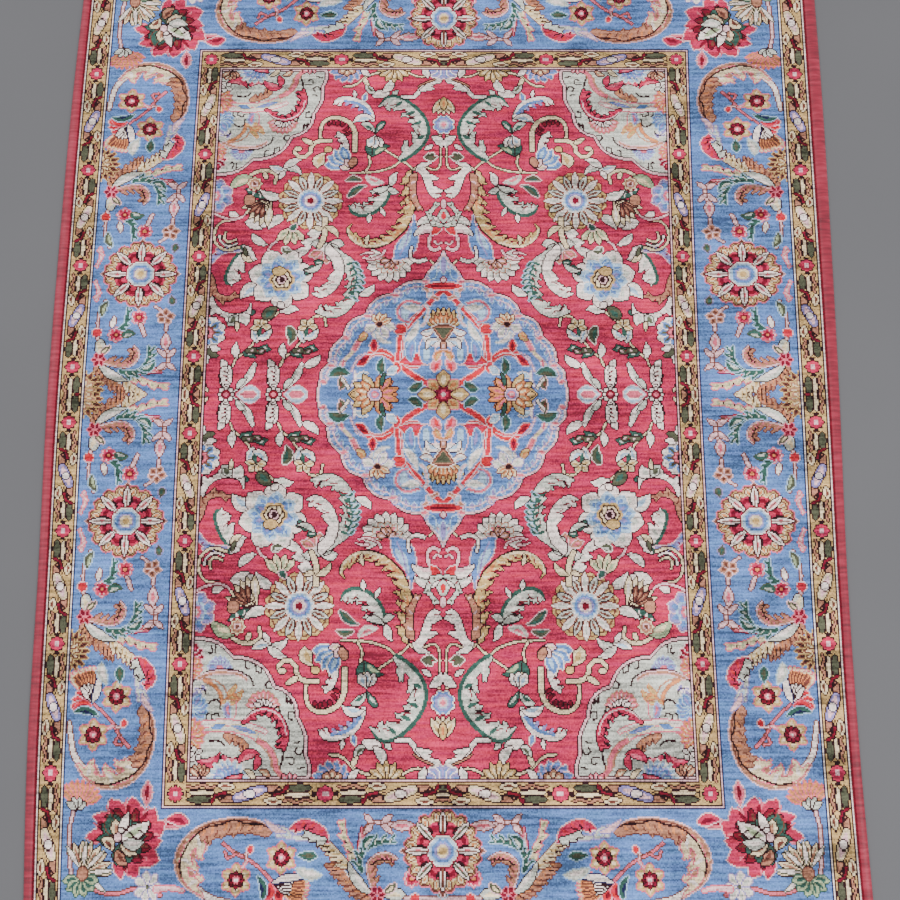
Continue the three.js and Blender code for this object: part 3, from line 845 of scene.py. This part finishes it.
def guard_repeat(flower, ring):
    """The repeat is the same when it is turned half round, so each part is drawn twice."""
    repeat = KnotChart(REPEAT_LENGTH, GUARD_GROUND, "gold")
    length, height = REPEAT_LENGTH * KNOT, GUARD_GROUND * KNOT
    for half in (1, -1):
        def at(x, y):
            return (x, y) if half == 1 else (length - x, height - y)
        repeat.stem([at(11, 8), at(12, 16)], 2.4, "brown")
        repeat.oval(at(25, 18.5), 24, 7, "olive", "brown")
        repeat.oval(at(27, 11), 24, 4.4, "cream", "brown")
        repeat.stem([at(12, 3), at(19, 6), at(27, 2.5), at(35, 6), at(40, 3)], 2.4, "camel", "brown")
        repeat.stem([at(36, 22), at(41, 14), at(50, 11)], 2.4, "deep", "brown")
        repeat.leaf(at(42, 3), at(60, 5), 0, 8, "cream", "brown", "umber")
        repeat.oval(at(53, 18.5), 20, 6.5, "camel", "brown")
        repeat.stem([at(58, 10), at(50, 14), at(44, 20)], 1.8, "brown")
        repeat.rosette(at(0, height / 2), GUARD_ROSETTE, 8, 0.16)
    repeat.oval((length / 2, height / 2), 36, 12, flower, "brown", -22)
    repeat.oval((length / 2, height / 2), 28, 7, "pink", None, -22)
    repeat.oval((length / 2, height / 2), 9.5, 9.5, "ivory", ring)
    return repeat.knots


REPEATS = (guard_repeat("cream", "brown"), guard_repeat("lavender", "navy"))


def lay_guard(first_column, first_row, lines, side_rosettes, end_rosettes):
    """A guard all round: lines by number of knots from its inner edge, repeats from the corner inwards."""
    out_x, out_y = column - first_column, row - first_row
    out = np.maximum(out_x, out_y)
    for place, yarn in lines.items():
        quarter.knots[out == place] = YARN_NUMBER[yarn]
    sides = ((row * KNOT, out_x, out_y, side_rosettes, 0), (column * KNOT, out_y, out_x, end_rosettes, 1))
    for along, outwards, across, rosettes, on_end in sides:
        beside, other = outwards - GUARD_LINES, across - GUARD_LINES
        strip = (beside >= 0) & (beside < GUARD_GROUND) & (other < GUARD_GROUND // 2 + 1)
        for number, (far, near) in enumerate(zip(rosettes, rosettes[1:])):
            part = strip & (along < far) & (along >= near)
            step = ((along[part] - near) / (far - near) * REPEAT_LENGTH).astype(int)
            line = GUARD_GROUND - 1 - beside[part] if on_end else beside[part]
            quarter.knots[part] = REPEATS[(number + on_end) % 2][line, step]
    square = (np.minimum(out_x, out_y) >= GUARD_LINES) & (out < GUARD_LINES + GUARD_GROUND)
    quarter.knots[square] = YARN_NUMBER["gold"]
    middle = np.array([first_column, first_row]) + GUARD_LINES + GUARD_GROUND / 2
    rosette(middle * KNOT, GUARD_ROSETTE, 8, 0.16)


INNER_LINES = {0: "brown", 1: "pink", 2: "brown", 18: "brown", 19: "pink", 20: "navy"}
OUTER_LINES = {0: "navy", 1: "ivory", 2: "brown", 18: "brown", 19: "ivory", 20: "deep"}
lay_guard(FIELD_X, FIELD_Y, INNER_LINES, (491, 341, 190, 51, -95), (321, 140, -41))
lay_guard(BORDER_X, BORDER_Y, OUTER_LINES, (625, 466, 317, 177, 37, -111), (468, 312, 156, 0))

# Knotted body: where its long sides run, and how the knots of the chart lie on the real, uneven cloth
EDGE_ROWS = {
    "left": (-490.0, -501.5, -505.0, -510.3, -510.3, -507.5, -500.0),
    "left_band": (11.0, 12.5, 11.5, 12.5, 13.5, 12.5, 10.5),
    "right": (500.0, 496.0, 497.0, 503.5, 508.0, 510.6, 510.0),
    "right_band": (12.5, 12.0, 11.5, 14.0, 16.5, 17.5, 16.0),
}
RUG_LENGTH = 1312.0
SEWN_GAP = 0.3
MILLIMETRE = 0.001


def along_side(name, y):
    """A smooth curve through one row of the table, at any place along the rug."""
    values = np.array(EDGE_ROWS[name])
    last = len(values) - 1
    place = np.clip((y / RUG_LENGTH + 0.5) * last, 0, last)
    first = np.minimum(place.astype(int), last - 1)
    start, end = values[first], values[first + 1]
    start_slope = np.where(first > 0, (end - values[np.maximum(first - 1, 0)]) / 2, end - start)
    end_slope = np.where(first < last - 1, (values[np.minimum(first + 2, last)] - start) / 2, end - start)
    t = place - first
    bend = start_slope + end_slope + 2 * (start - end)
    lean = 3 * (end - start) - 2 * start_slope - end_slope
    return ((bend * t + lean) * t + start_slope) * t + start


def left_seam(y):
    return along_side("left", y) + along_side("left_band", y)


def right_seam(y):
    return along_side("right", y) - along_side("right_band", y)


# Half sizes of the inner frame, as drawn on the chart and as it lies on the cloth, and the cloth's own drift
FRAME_X, FRAME_Y = 337.0, 507.0
LAID_FRAME_X, LAID_FRAME_Y = 334.5, 503.0
FIELD_RISE, FIELD_DRIFT = 9.5, 0.5
SIDE_BOW, RUG_SHIFT = 5.0, 3.0
PILE_X, PILE_Y = QUARTER_COLUMNS * KNOT, QUARTER_ROWS * KNOT


def laid(x, y):
    """Where a knot of the chart lies: the field is drawn in a little, the borders follow the sides."""
    far_y, far_x = np.abs(y), np.abs(x)
    inner_y = y * LAID_FRAME_Y / FRAME_Y + FIELD_RISE * (1.0 - np.minimum(far_y / FRAME_Y, 1.0) ** 3)
    outer_y = np.sign(y) * (LAID_FRAME_Y + (far_y - FRAME_Y) * (PILE_Y - LAID_FRAME_Y) / (PILE_Y - FRAME_Y))
    laid_y = np.where(far_y <= FRAME_Y, inner_y, outer_y)
    bow = -SIDE_BOW * (1.0 - np.minimum(np.abs(laid_y) / LAID_FRAME_Y, 1.0) ** 2)
    share = np.minimum(far_x / FRAME_X, 1.0)
    inner_x = x * LAID_FRAME_X / FRAME_X - FIELD_DRIFT * (1.0 - share ** 2) + bow * share ** 2
    edge = np.where(x < 0, -left_seam(laid_y) - RUG_SHIFT, right_seam(laid_y) + RUG_SHIFT) - SEWN_GAP / 2
    side = LAID_FRAME_X + np.where(x < 0, -bow, bow)
    outer_x = np.sign(x) * (side + (far_x - FRAME_X) * (edge - side) / (PILE_X - FRAME_X))
    return np.where(far_x <= FRAME_X, inner_x, outer_x) - RUG_SHIFT, laid_y



# Knotted body: a mesh whose faces each carry a card of 5 by 6 knots, on the pile side and on the back
CARD_COLUMNS, CARD_ROWS = 5, 6
FACES_ACROSS = 2 * QUARTER_COLUMNS // CARD_COLUMNS
FACES_ALONG = 2 * QUARTER_ROWS // CARD_ROWS
PILE_HEIGHT = 4.0
WEB_HEIGHT = 1.6
WEB_LENGTH = 13.0
BACK_HEIGHT = 0.05


def surface_height(x, y):
    """The pile stands level but for slow, shallow waves of a few tenths of a millimetre."""
    return (0.13 * np.sin(x / 71.0 + 0.6 * np.sin(y / 93.0)) + 0.11 * np.sin(y / 57.0 + x / 160.0)
            + 0.06 * np.sin((x + y) / 31.0)) - 0.25


x_line = np.linspace(-PILE_X, PILE_X, FACES_ACROSS + 1)
y_line = np.linspace(-PILE_Y, PILE_Y, FACES_ALONG + 1)
end = RUG_LENGTH / 2
top = []
for y in (-end, -end + WEB_LENGTH, *y_line, end - WEB_LENGTH, end):
    flat = np.full_like(x_line, y)
    if abs(y) > PILE_Y:
        share = (x_line + PILE_X) / (2 * PILE_X)
        near = left_seam(flat) + SEWN_GAP / 2
        far = right_seam(flat) - SEWN_GAP / 2
        edge_x, _ = laid(x_line, np.sign(flat) * PILE_Y)
        inner_near, inner_far = edge_x[0], edge_x[-1]
        spread = (edge_x - inner_near) / (inner_far - inner_near)
        top.append(np.column_stack([near + spread * (far - near), flat, np.full_like(flat, WEB_HEIGHT)]))
    else:
        lx, ly = laid(x_line, flat)
        top.append(np.column_stack([lx, ly, PILE_HEIGHT + surface_height(lx, ly)]))
top = np.array(top)
rows, columns = top.shape[:2]

cloth = bmesh.new()
bmesh.ops.create_grid(cloth, x_segments=columns - 1, y_segments=rows - 1)
for vert, point in zip(cloth.verts, top.reshape(-1, 3) * MILLIMETRE):
    vert.co = point
cloth.verts.index_update()

# Knotted body: the cards of knots and the knot counts; the two rows of faces at each end are the plain web
PILE_SIDE, BACK_SIDE, WOVEN_WEB = 0, 1, 2
full = np.vstack([quarter.knots[::-1], quarter.knots])
full = np.hstack([full[:, ::-1], full])
cards = full.reshape(FACES_ALONG, CARD_ROWS, FACES_ACROSS, CARD_COLUMNS)
packed = np.einsum("arbc,c->abr", cards, len(YARNS) ** np.arange(CARD_COLUMNS))
framed = np.zeros((rows - 1, columns - 1, CARD_ROWS))
framed[2:-2] = packed
first_lines = cloth.faces.layers.float_vector.new("cards_a")
last_lines = cloth.faces.layers.float_vector.new("cards_b")
knot_map = cloth.loops.layers.uv.new("knots")
for number, (face, card) in enumerate(zip(cloth.faces, framed.reshape(-1, CARD_ROWS))):
    face[first_lines] = card[:3]
    face[last_lines] = card[3:]
    row = number // (columns - 1)
    face.material_index = WOVEN_WEB if row < 2 or row >= rows - 3 else PILE_SIDE
    for loop in face.loops:
        row, column = divmod(loop.vert.index, columns)
        loop[knot_map].uv = (column * CARD_COLUMNS, (row - 2) * CARD_ROWS)

# Knotted body: the back is a flat copy of the pile side, and a band of faces closes the raw edge
pile_faces = cloth.faces[:]
copied = bmesh.ops.duplicate(cloth, geom=pile_faces)["geom"]
back_faces = [item for item in copied if isinstance(item, bmesh.types.BMFace)]
for item in copied:
    if isinstance(item, bmesh.types.BMVert):
        item.co.z = BACK_HEIGHT * MILLIMETRE
for face in back_faces:
    if face.material_index == PILE_SIDE:
        face.material_index = BACK_SIDE
bmesh.ops.reverse_faces(cloth, faces=back_faces)
rim = [edge for edge in cloth.edges if edge.is_boundary]
band = bmesh.ops.bridge_loops(cloth, edges=rim)["faces"]
for face in band:
    face.material_index = WOVEN_WEB
for face in cloth.faces:
    face.smooth = True
bmesh.ops.recalc_face_normals(cloth, faces=cloth.faces)

# Knotted body: the OFBake map: the pile side, the band in four strips, and the back
TOP_SHARE = 0.8
BAKE_EDGE = 0.002
BAKE_HALF_WIDTH = 520.0
STRIP_STEP = 0.0035
bake_map = cloth.loops.layers.uv.new("OFBake")


def bake_places(faces, first, width, strips=False):
    """Lay faces into a column of the bake map by their place on the rug."""
    for face in faces:
        for loop in face.loops:
            across = (loop.vert.co.x / MILLIMETRE + BAKE_HALF_WIDTH) / (2 * BAKE_HALF_WIDTH)
            along = loop.vert.co.y / MILLIMETRE / RUG_LENGTH + 0.5
            if strips:
                ends = abs(face.normal.y) > abs(face.normal.x)
                run = across if ends else along
                strip = 2 * ends + ((face.normal.y if ends else face.normal.x) > 0)
                upper = loop.vert.co.z > MILLIMETRE
                place = first + strip * STRIP_STEP + upper * width
            else:
                run = along
                place = first + across * width
            loop[bake_map].uv = (place, BAKE_EDGE + run * (1.0 - 2 * BAKE_EDGE))


cloth.normal_update()
bake_places(pile_faces, BAKE_EDGE, TOP_SHARE - 0.006)
bake_places(band, TOP_SHARE + 0.001, BAKE_EDGE, strips=True)
bake_places(back_faces, 0.996, TOP_SHARE - 0.98)

body_mesh = bpy.data.meshes.new("rug_cloth")
cloth.to_mesh(body_mesh)
cloth.free()
rug_cloth = bpy.data.objects.new("rug_cloth", body_mesh)
bpy.context.scene.collection.objects.link(rug_cloth)


# Knotted body: pile material. The shader opens the card of the face and finds the yarn of each knot.
class Shader:
    """A procedural material, built node by node."""

    def __init__(self, name):
        self.material = bpy.data.materials.new(name)
        self.material.use_nodes = True
        self.tree = self.material.node_tree
        self.surface = self.tree.nodes["Principled BSDF"]

    def wire(self, value, socket):
        if isinstance(value, bpy.types.NodeSocket):
            self.tree.links.new(value, socket)
        else:
            socket.default_value = value

    def node(self, kind, inputs=(), **settings):
        made = self.tree.nodes.new(kind)
        for name, value in settings.items():
            setattr(made, name, value)
        for place, value in dict(inputs).items():
            self.wire(value, made.inputs[place])
        return made

    def math(self, operation, *values):
        return self.node("ShaderNodeMath", enumerate(values), operation=operation).outputs[0]

    def add(self, one, other):
        return self.math("ADD", one, other)

    def times(self, one, other):
        return self.math("MULTIPLY", one, other)

    def ramp(self, value, stops, interpolation="LINEAR"):
        made = self.node("ShaderNodeValToRGB", {0: value})
        made.color_ramp.interpolation = interpolation
        elements = made.color_ramp.elements
        while len(elements) < len(stops):
            elements.new(1.0)
        for element, (place, colour) in zip(elements, stops):
            element.position = place
            element.color = (*colour, 1.0)
        return made.outputs[0]

    def noise(self, vector, scale, detail=2.0):
        return self.node("ShaderNodeTexNoise", {"Vector": vector, "Scale": scale,
                         "Detail": detail}).outputs[0]

    def stretched(self, vector, scale):
        return self.node("ShaderNodeMapping", {"Vector": vector, "Scale": scale}).outputs[0]

    def bump(self, height, strength, distance):
        made = self.node("ShaderNodeBump", {"Height": height, "Strength": strength, "Distance": distance})
        self.wire(made.outputs[0], self.surface.inputs["Normal"])


def linear(rgb):
    """A colour given as it looks on a screen, 0 to 255, in linear light."""
    return tuple((c / 255 / 12.92) if c < 10.3 else ((c / 255 + 0.055) / 1.055) ** 2.4 for c in rgb)


# How much each knot, the dyer's streaks and the larger patches change the tone, and the blotches of painted
# shade
OWN_TONE, STREAK_TONE, PATCH_TONE, BASE_TONE, LEAST_TONE = 0.66, 2.7, 2.2, -1.68, 0.38
SHADE_BLOTCH_FROM, SHADE_BLOTCH_DEPTH, SHADE_BLOTCH_MOST = 0.52, 1.8, 0.3
HUE_RANGE, LEAST_HUE = 0.03, 0.485
COTTON = linear((226, 206, 184))


def knotted_material(name, wear):
    """The yarns of the chart; wear is how far the foundation shows between them, as it does on the back."""
    shader = Shader(name)
    place = shader.node("ShaderNodeUVMap", uv_map="knots").outputs[0]
    split = shader.node("ShaderNodeSeparateXYZ", {0: place})
    across, along = split.outputs[0], split.outputs[1]
    knot_column = shader.math("FLOOR", shader.math("FLOORED_MODULO", across, float(CARD_COLUMNS)))
    knot_row = shader.math("FLOOR", shader.math("FLOORED_MODULO", along, float(CARD_ROWS)))
    first_card = shader.node("ShaderNodeAttribute", attribute_name="cards_a").outputs["Vector"]
    second_card = shader.node("ShaderNodeAttribute", attribute_name="cards_b").outputs["Vector"]
    late = shader.math("GREATER_THAN", knot_row, 2.5)
    card = shader.node("ShaderNodeMix", {0: late, 4: first_card, 5: second_card},
                       data_type="VECTOR").outputs[1]
    lines = shader.node("ShaderNodeSeparateXYZ", {0: card})
    line = shader.math("FLOORED_MODULO", knot_row, 3.0)
    value = 0.5
    for number in range(3):
        chosen = shader.math("COMPARE", line, float(number), 0.1)
        value = shader.add(shader.times(lines.outputs[number], chosen), value)
    count = float(len(YARNS))
    shifted = shader.math("FLOOR", shader.math("DIVIDE", value, shader.math("POWER", count, knot_column)))
    yarn = shader.math("FLOORED_MODULO", shifted, count)
    stops = [(number / count, linear(colour)) for number, colour in enumerate(YARNS.values())]
    colour = shader.ramp(shader.math("DIVIDE", shader.add(yarn, 0.5), count), stops, "CONSTANT")

    knot = shader.node("ShaderNodeCombineXYZ", {0: shader.math("FLOOR", across),
                       1: shader.math("FLOOR", along)})
    own_tone = shader.node("ShaderNodeTexWhiteNoise", {"Vector": knot.outputs[0]},
                           noise_dimensions="2D").outputs[0]
    streaks = shader.noise(shader.stretched(place, (0.035, 0.42, 1.0)), 1.0, 3.0)
    patches = shader.noise(shader.stretched(place, (0.012, 0.03, 1.0)), 1.0, 2.0)
    tone = shader.add(shader.times(own_tone, OWN_TONE), shader.times(streaks, STREAK_TONE))
    tone = shader.add(shader.add(tone, shader.times(patches, PATCH_TONE)), BASE_TONE)
    # Painted shade: where a slow noise runs high, the yarn colour is darkened in soft blotches
    shade_blotch = shader.noise(shader.stretched(place, (0.022, 0.03, 1.0)), 1.0, 4.0)
    painted_shade = shader.times(shader.math("MAXIMUM", shader.math("SUBTRACT", shade_blotch, SHADE_BLOTCH_FROM), 0.0),
                        SHADE_BLOTCH_DEPTH)
    painted_shade = shader.math("MINIMUM", painted_shade, SHADE_BLOTCH_MOST)
    tone = shader.math("MAXIMUM", shader.math("SUBTRACT", tone, painted_shade), LEAST_TONE)
    hue_noise = shader.noise(shader.stretched(place, (0.05, 0.3, 2.0)), 1.0, 2.0)
    hue = shader.add(shader.times(hue_noise, HUE_RANGE), LEAST_HUE)
    dyed = shader.node("ShaderNodeHueSaturation", {"Hue": hue, "Saturation": 1.0, "Value": tone,
                       "Color": colour})
    faded = shader.node("ShaderNodeMix", {0: wear, 6: dyed.outputs[0], 7: (*COTTON, 1.0)},
                        data_type="RGBA")
    shader.wire(faded.outputs[2], shader.surface.inputs["Base Color"])
    shader.surface.inputs["Roughness"].default_value = 0.62
    shader.surface.inputs["Specular IOR Level"].default_value = 0.12
    shader.surface.inputs["Sheen Weight"].default_value = 0.06
    shader.surface.inputs["Sheen Roughness"].default_value = 0.4

    ridge = shader.math("SINE", shader.times(shader.math("FRACT", along), math.pi))
    valley = shader.math("SINE", shader.times(shader.math("FRACT", across), math.pi))
    fibres = shader.noise(shader.stretched(place, (1.2, 3.0, 1.0)), 2.0, 2.0)
    height = shader.add(shader.times(ridge, valley), shader.times(fibres, 1.2))
    shader.bump(height, 0.5, 0.0006)
    return shader.material


body_mesh.materials.append(knotted_material("silk_pile", 0.0))
body_mesh.materials.append(knotted_material("knotted_back", 0.3))

# Knotted body: the flat-woven web at each end, where the knots stop: red weft beaten close over the same
# warps, without any pile. The raw edges of the cloth have the same look.
web = Shader("woven_web")
place = web.node("ShaderNodeTexCoord").outputs["Object"]
threads = web.noise(web.stretched(place, (60.0, 700.0, 60.0)), 1.0, 2.0)
web_reds = [(0.3, linear((150, 34, 52))), (0.7, linear((206, 66, 84)))]
web.wire(web.ramp(threads, web_reds), web.surface.inputs["Base Color"])
web.surface.inputs["Roughness"].default_value = 0.75
crossing = web.noise(web.stretched(place, (900.0, 300.0, 300.0)), 1.0, 1.0)
web.bump(web.add(threads, crossing), 0.5, 0.0005)
body_mesh.materials.append(web.material)

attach(rug_cloth, "root")
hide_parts("rug_body")

# Selvedges: the outer warps of each long side, wound with red silk thread from end to end, which makes a
# firm round cord beside the pile. Each turn leans a little along the cord and stands up in low relief.
# The underside is flat, where the rug rests on the floor, and the cord is sewn close to the knots.
THREAD_PITCH = 1.6
STEPS_PER_THREAD = 3
ARCH_STEPS = 12
THREAD_RELIEF = 0.22
SELVEDGE_HEIGHT = 4.4
ARCH_FULLNESS = 0.8
THREAD_LEAN = 1.1
UNDER_STEPS = 4

overcast = Shader("overcast_silk")
place = overcast.node("ShaderNodeTexCoord").outputs["Object"]
tone = overcast.noise(overcast.stretched(place, (40.0, 260.0, 40.0)), 1.0, 3.0)
slow = overcast.noise(place, 9.0, 2.0)
mixed = overcast.add(overcast.times(tone, 0.6), overcast.times(slow, 0.4))
silk = [(0.3, linear((100, 12, 34))), (0.5, linear((160, 28, 56))), (0.72, linear((200, 64, 90)))]
overcast.wire(overcast.ramp(mixed, silk), overcast.surface.inputs["Base Color"])
overcast.surface.inputs["Roughness"].default_value = 0.42
overcast.surface.inputs["Sheen Weight"].default_value = 0.2
overcast.bump(overcast.noise(overcast.stretched(place, (300.0, 1400.0, 300.0)), 1.0, 2.0), 0.35, 0.0004)

wraps = int(RUG_LENGTH / THREAD_PITCH)
rings = wraps * STEPS_PER_THREAD + 1
ring_y = np.linspace(-RUG_LENGTH / 2, RUG_LENGTH / 2, rings)
angles = np.linspace(0.0, math.pi, ARCH_STEPS + 1)


def left_edges(y):
    """The outer edge of the left cord and its edge against the knots."""
    return along_side("left", y), left_seam(y) - SEWN_GAP / 2


def right_edges(y):
    """The edge of the right cord against the knots and its outer edge."""
    return right_seam(y) + SEWN_GAP / 2, along_side("right", y)


for node_name, edges in (("selvedge_left", left_edges), ("selvedge_right", right_edges)):
    piece_name = node_name + "_cord"
    y = ring_y[:, None] + (THREAD_LEAN * np.cos(angles))[None, :]
    y = np.clip(y, -RUG_LENGTH / 2, RUG_LENGTH / 2)
    thread = np.abs(np.sin(np.pi * np.arange(rings) / STEPS_PER_THREAD))[:, None]
    shrink = THREAD_RELIEF * (1.0 - thread)
    near, far = edges(y)
    half = (far - near) / 2
    x = (near + far) / 2 - np.cos(angles) * (half - shrink)
    z = BACK_HEIGHT + (SELVEDGE_HEIGHT - BACK_HEIGHT - shrink) * np.sin(angles) ** ARCH_FULLNESS
    shares = np.linspace(0.0, 1.0, UNDER_STEPS + 1)[1:-1]
    under_x, under_y = (line[:, -1:] + (line[:, :1] - line[:, -1:]) * shares for line in (x, y))
    under_z = np.full_like(under_x, BACK_HEIGHT)
    ring_points = np.stack([np.hstack([x, under_x]), np.hstack([y, under_y]), np.hstack([z, under_z])],
                           axis=-1)
    around = ring_points.shape[1]
    closed = np.concatenate([ring_points, ring_points[:, :1]], axis=1)
    cord = bmesh.new()
    bmesh.ops.create_grid(cord, x_segments=around, y_segments=rings - 1)
    for vert, point in zip(cord.verts, closed.reshape(-1, 3) * MILLIMETRE):
        vert.co = point
    bmesh.ops.remove_doubles(cord, verts=cord.verts, dist=1e-6)
    bmesh.ops.holes_fill(cord, edges=[edge for edge in cord.edges if edge.is_boundary])
    bmesh.ops.recalc_face_normals(cord, faces=cord.faces)
    for face in cord.faces:
        face.smooth = True
    selvedge_mesh = bpy.data.meshes.new(piece_name)
    cord.to_mesh(selvedge_mesh)
    cord.free()
    selvedge_mesh.materials.append(overcast.material)
    selvedge = bpy.data.objects.new(piece_name, selvedge_mesh)
    bpy.context.scene.collection.objects.link(selvedge)
    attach(selvedge, "root")
    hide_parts(node_name)

# Floor: a plain grey floor that the rug lies on, dull and almost even in tone. It is only there for the
# picture and belongs to no piece of the rug.
FLOOR_SIZE = 8.0
bpy.ops.mesh.primitive_plane_add(size=FLOOR_SIZE, location=(0.0, 0.0, 0.0))
floor = bpy.context.object
floor.name = "floor"
floor_look = Shader("floor_look")
place = floor_look.node("ShaderNodeTexCoord").outputs["Object"]
floor_greys = [(0.3, (0.145, 0.145, 0.155)), (0.7, (0.155, 0.155, 0.165))]
floor_tone = floor_look.noise(place, 3.0, 2.0)
floor_look.wire(floor_look.ramp(floor_tone, floor_greys), floor_look.surface.inputs["Base Color"])
floor_look.surface.inputs["Roughness"].default_value = 0.9
floor.data.materials.append(floor_look.material)

# Light: two large soft lamps and a pale sky, even over the whole rug and a little stronger from the lower
# right. Places are in metres, and each lamp points at the middle of the rug.
LIGHTS = {
    "key": {"place": (1.4, -1.6, 2.6), "size": 2.2, "power": 64.0},
    "fill": {"place": (-1.6, 0.9, 2.8), "size": 2.6, "power": 32.0},
}
SKY_STRENGTH = 0.8
for name, lamp in LIGHTS.items():
    lamp_data = bpy.data.lights.new(name, "AREA")
    lamp_data.size = lamp["size"]
    lamp_data.energy = lamp["power"]
    light = bpy.data.objects.new(name, lamp_data)
    light.location = lamp["place"]
    aim = -light.location
    light.rotation_euler = aim.to_track_quat("-Z", "Y").to_euler()
    bpy.context.scene.collection.objects.link(light)
world = bpy.data.worlds.new("world")
world.use_nodes = True
background = world.node_tree.nodes["Background"]
background.inputs["Color"].default_value = (1.0, 1.0, 1.0, 1.0)
background.inputs["Strength"].default_value = SKY_STRENGTH
bpy.context.scene.world = world
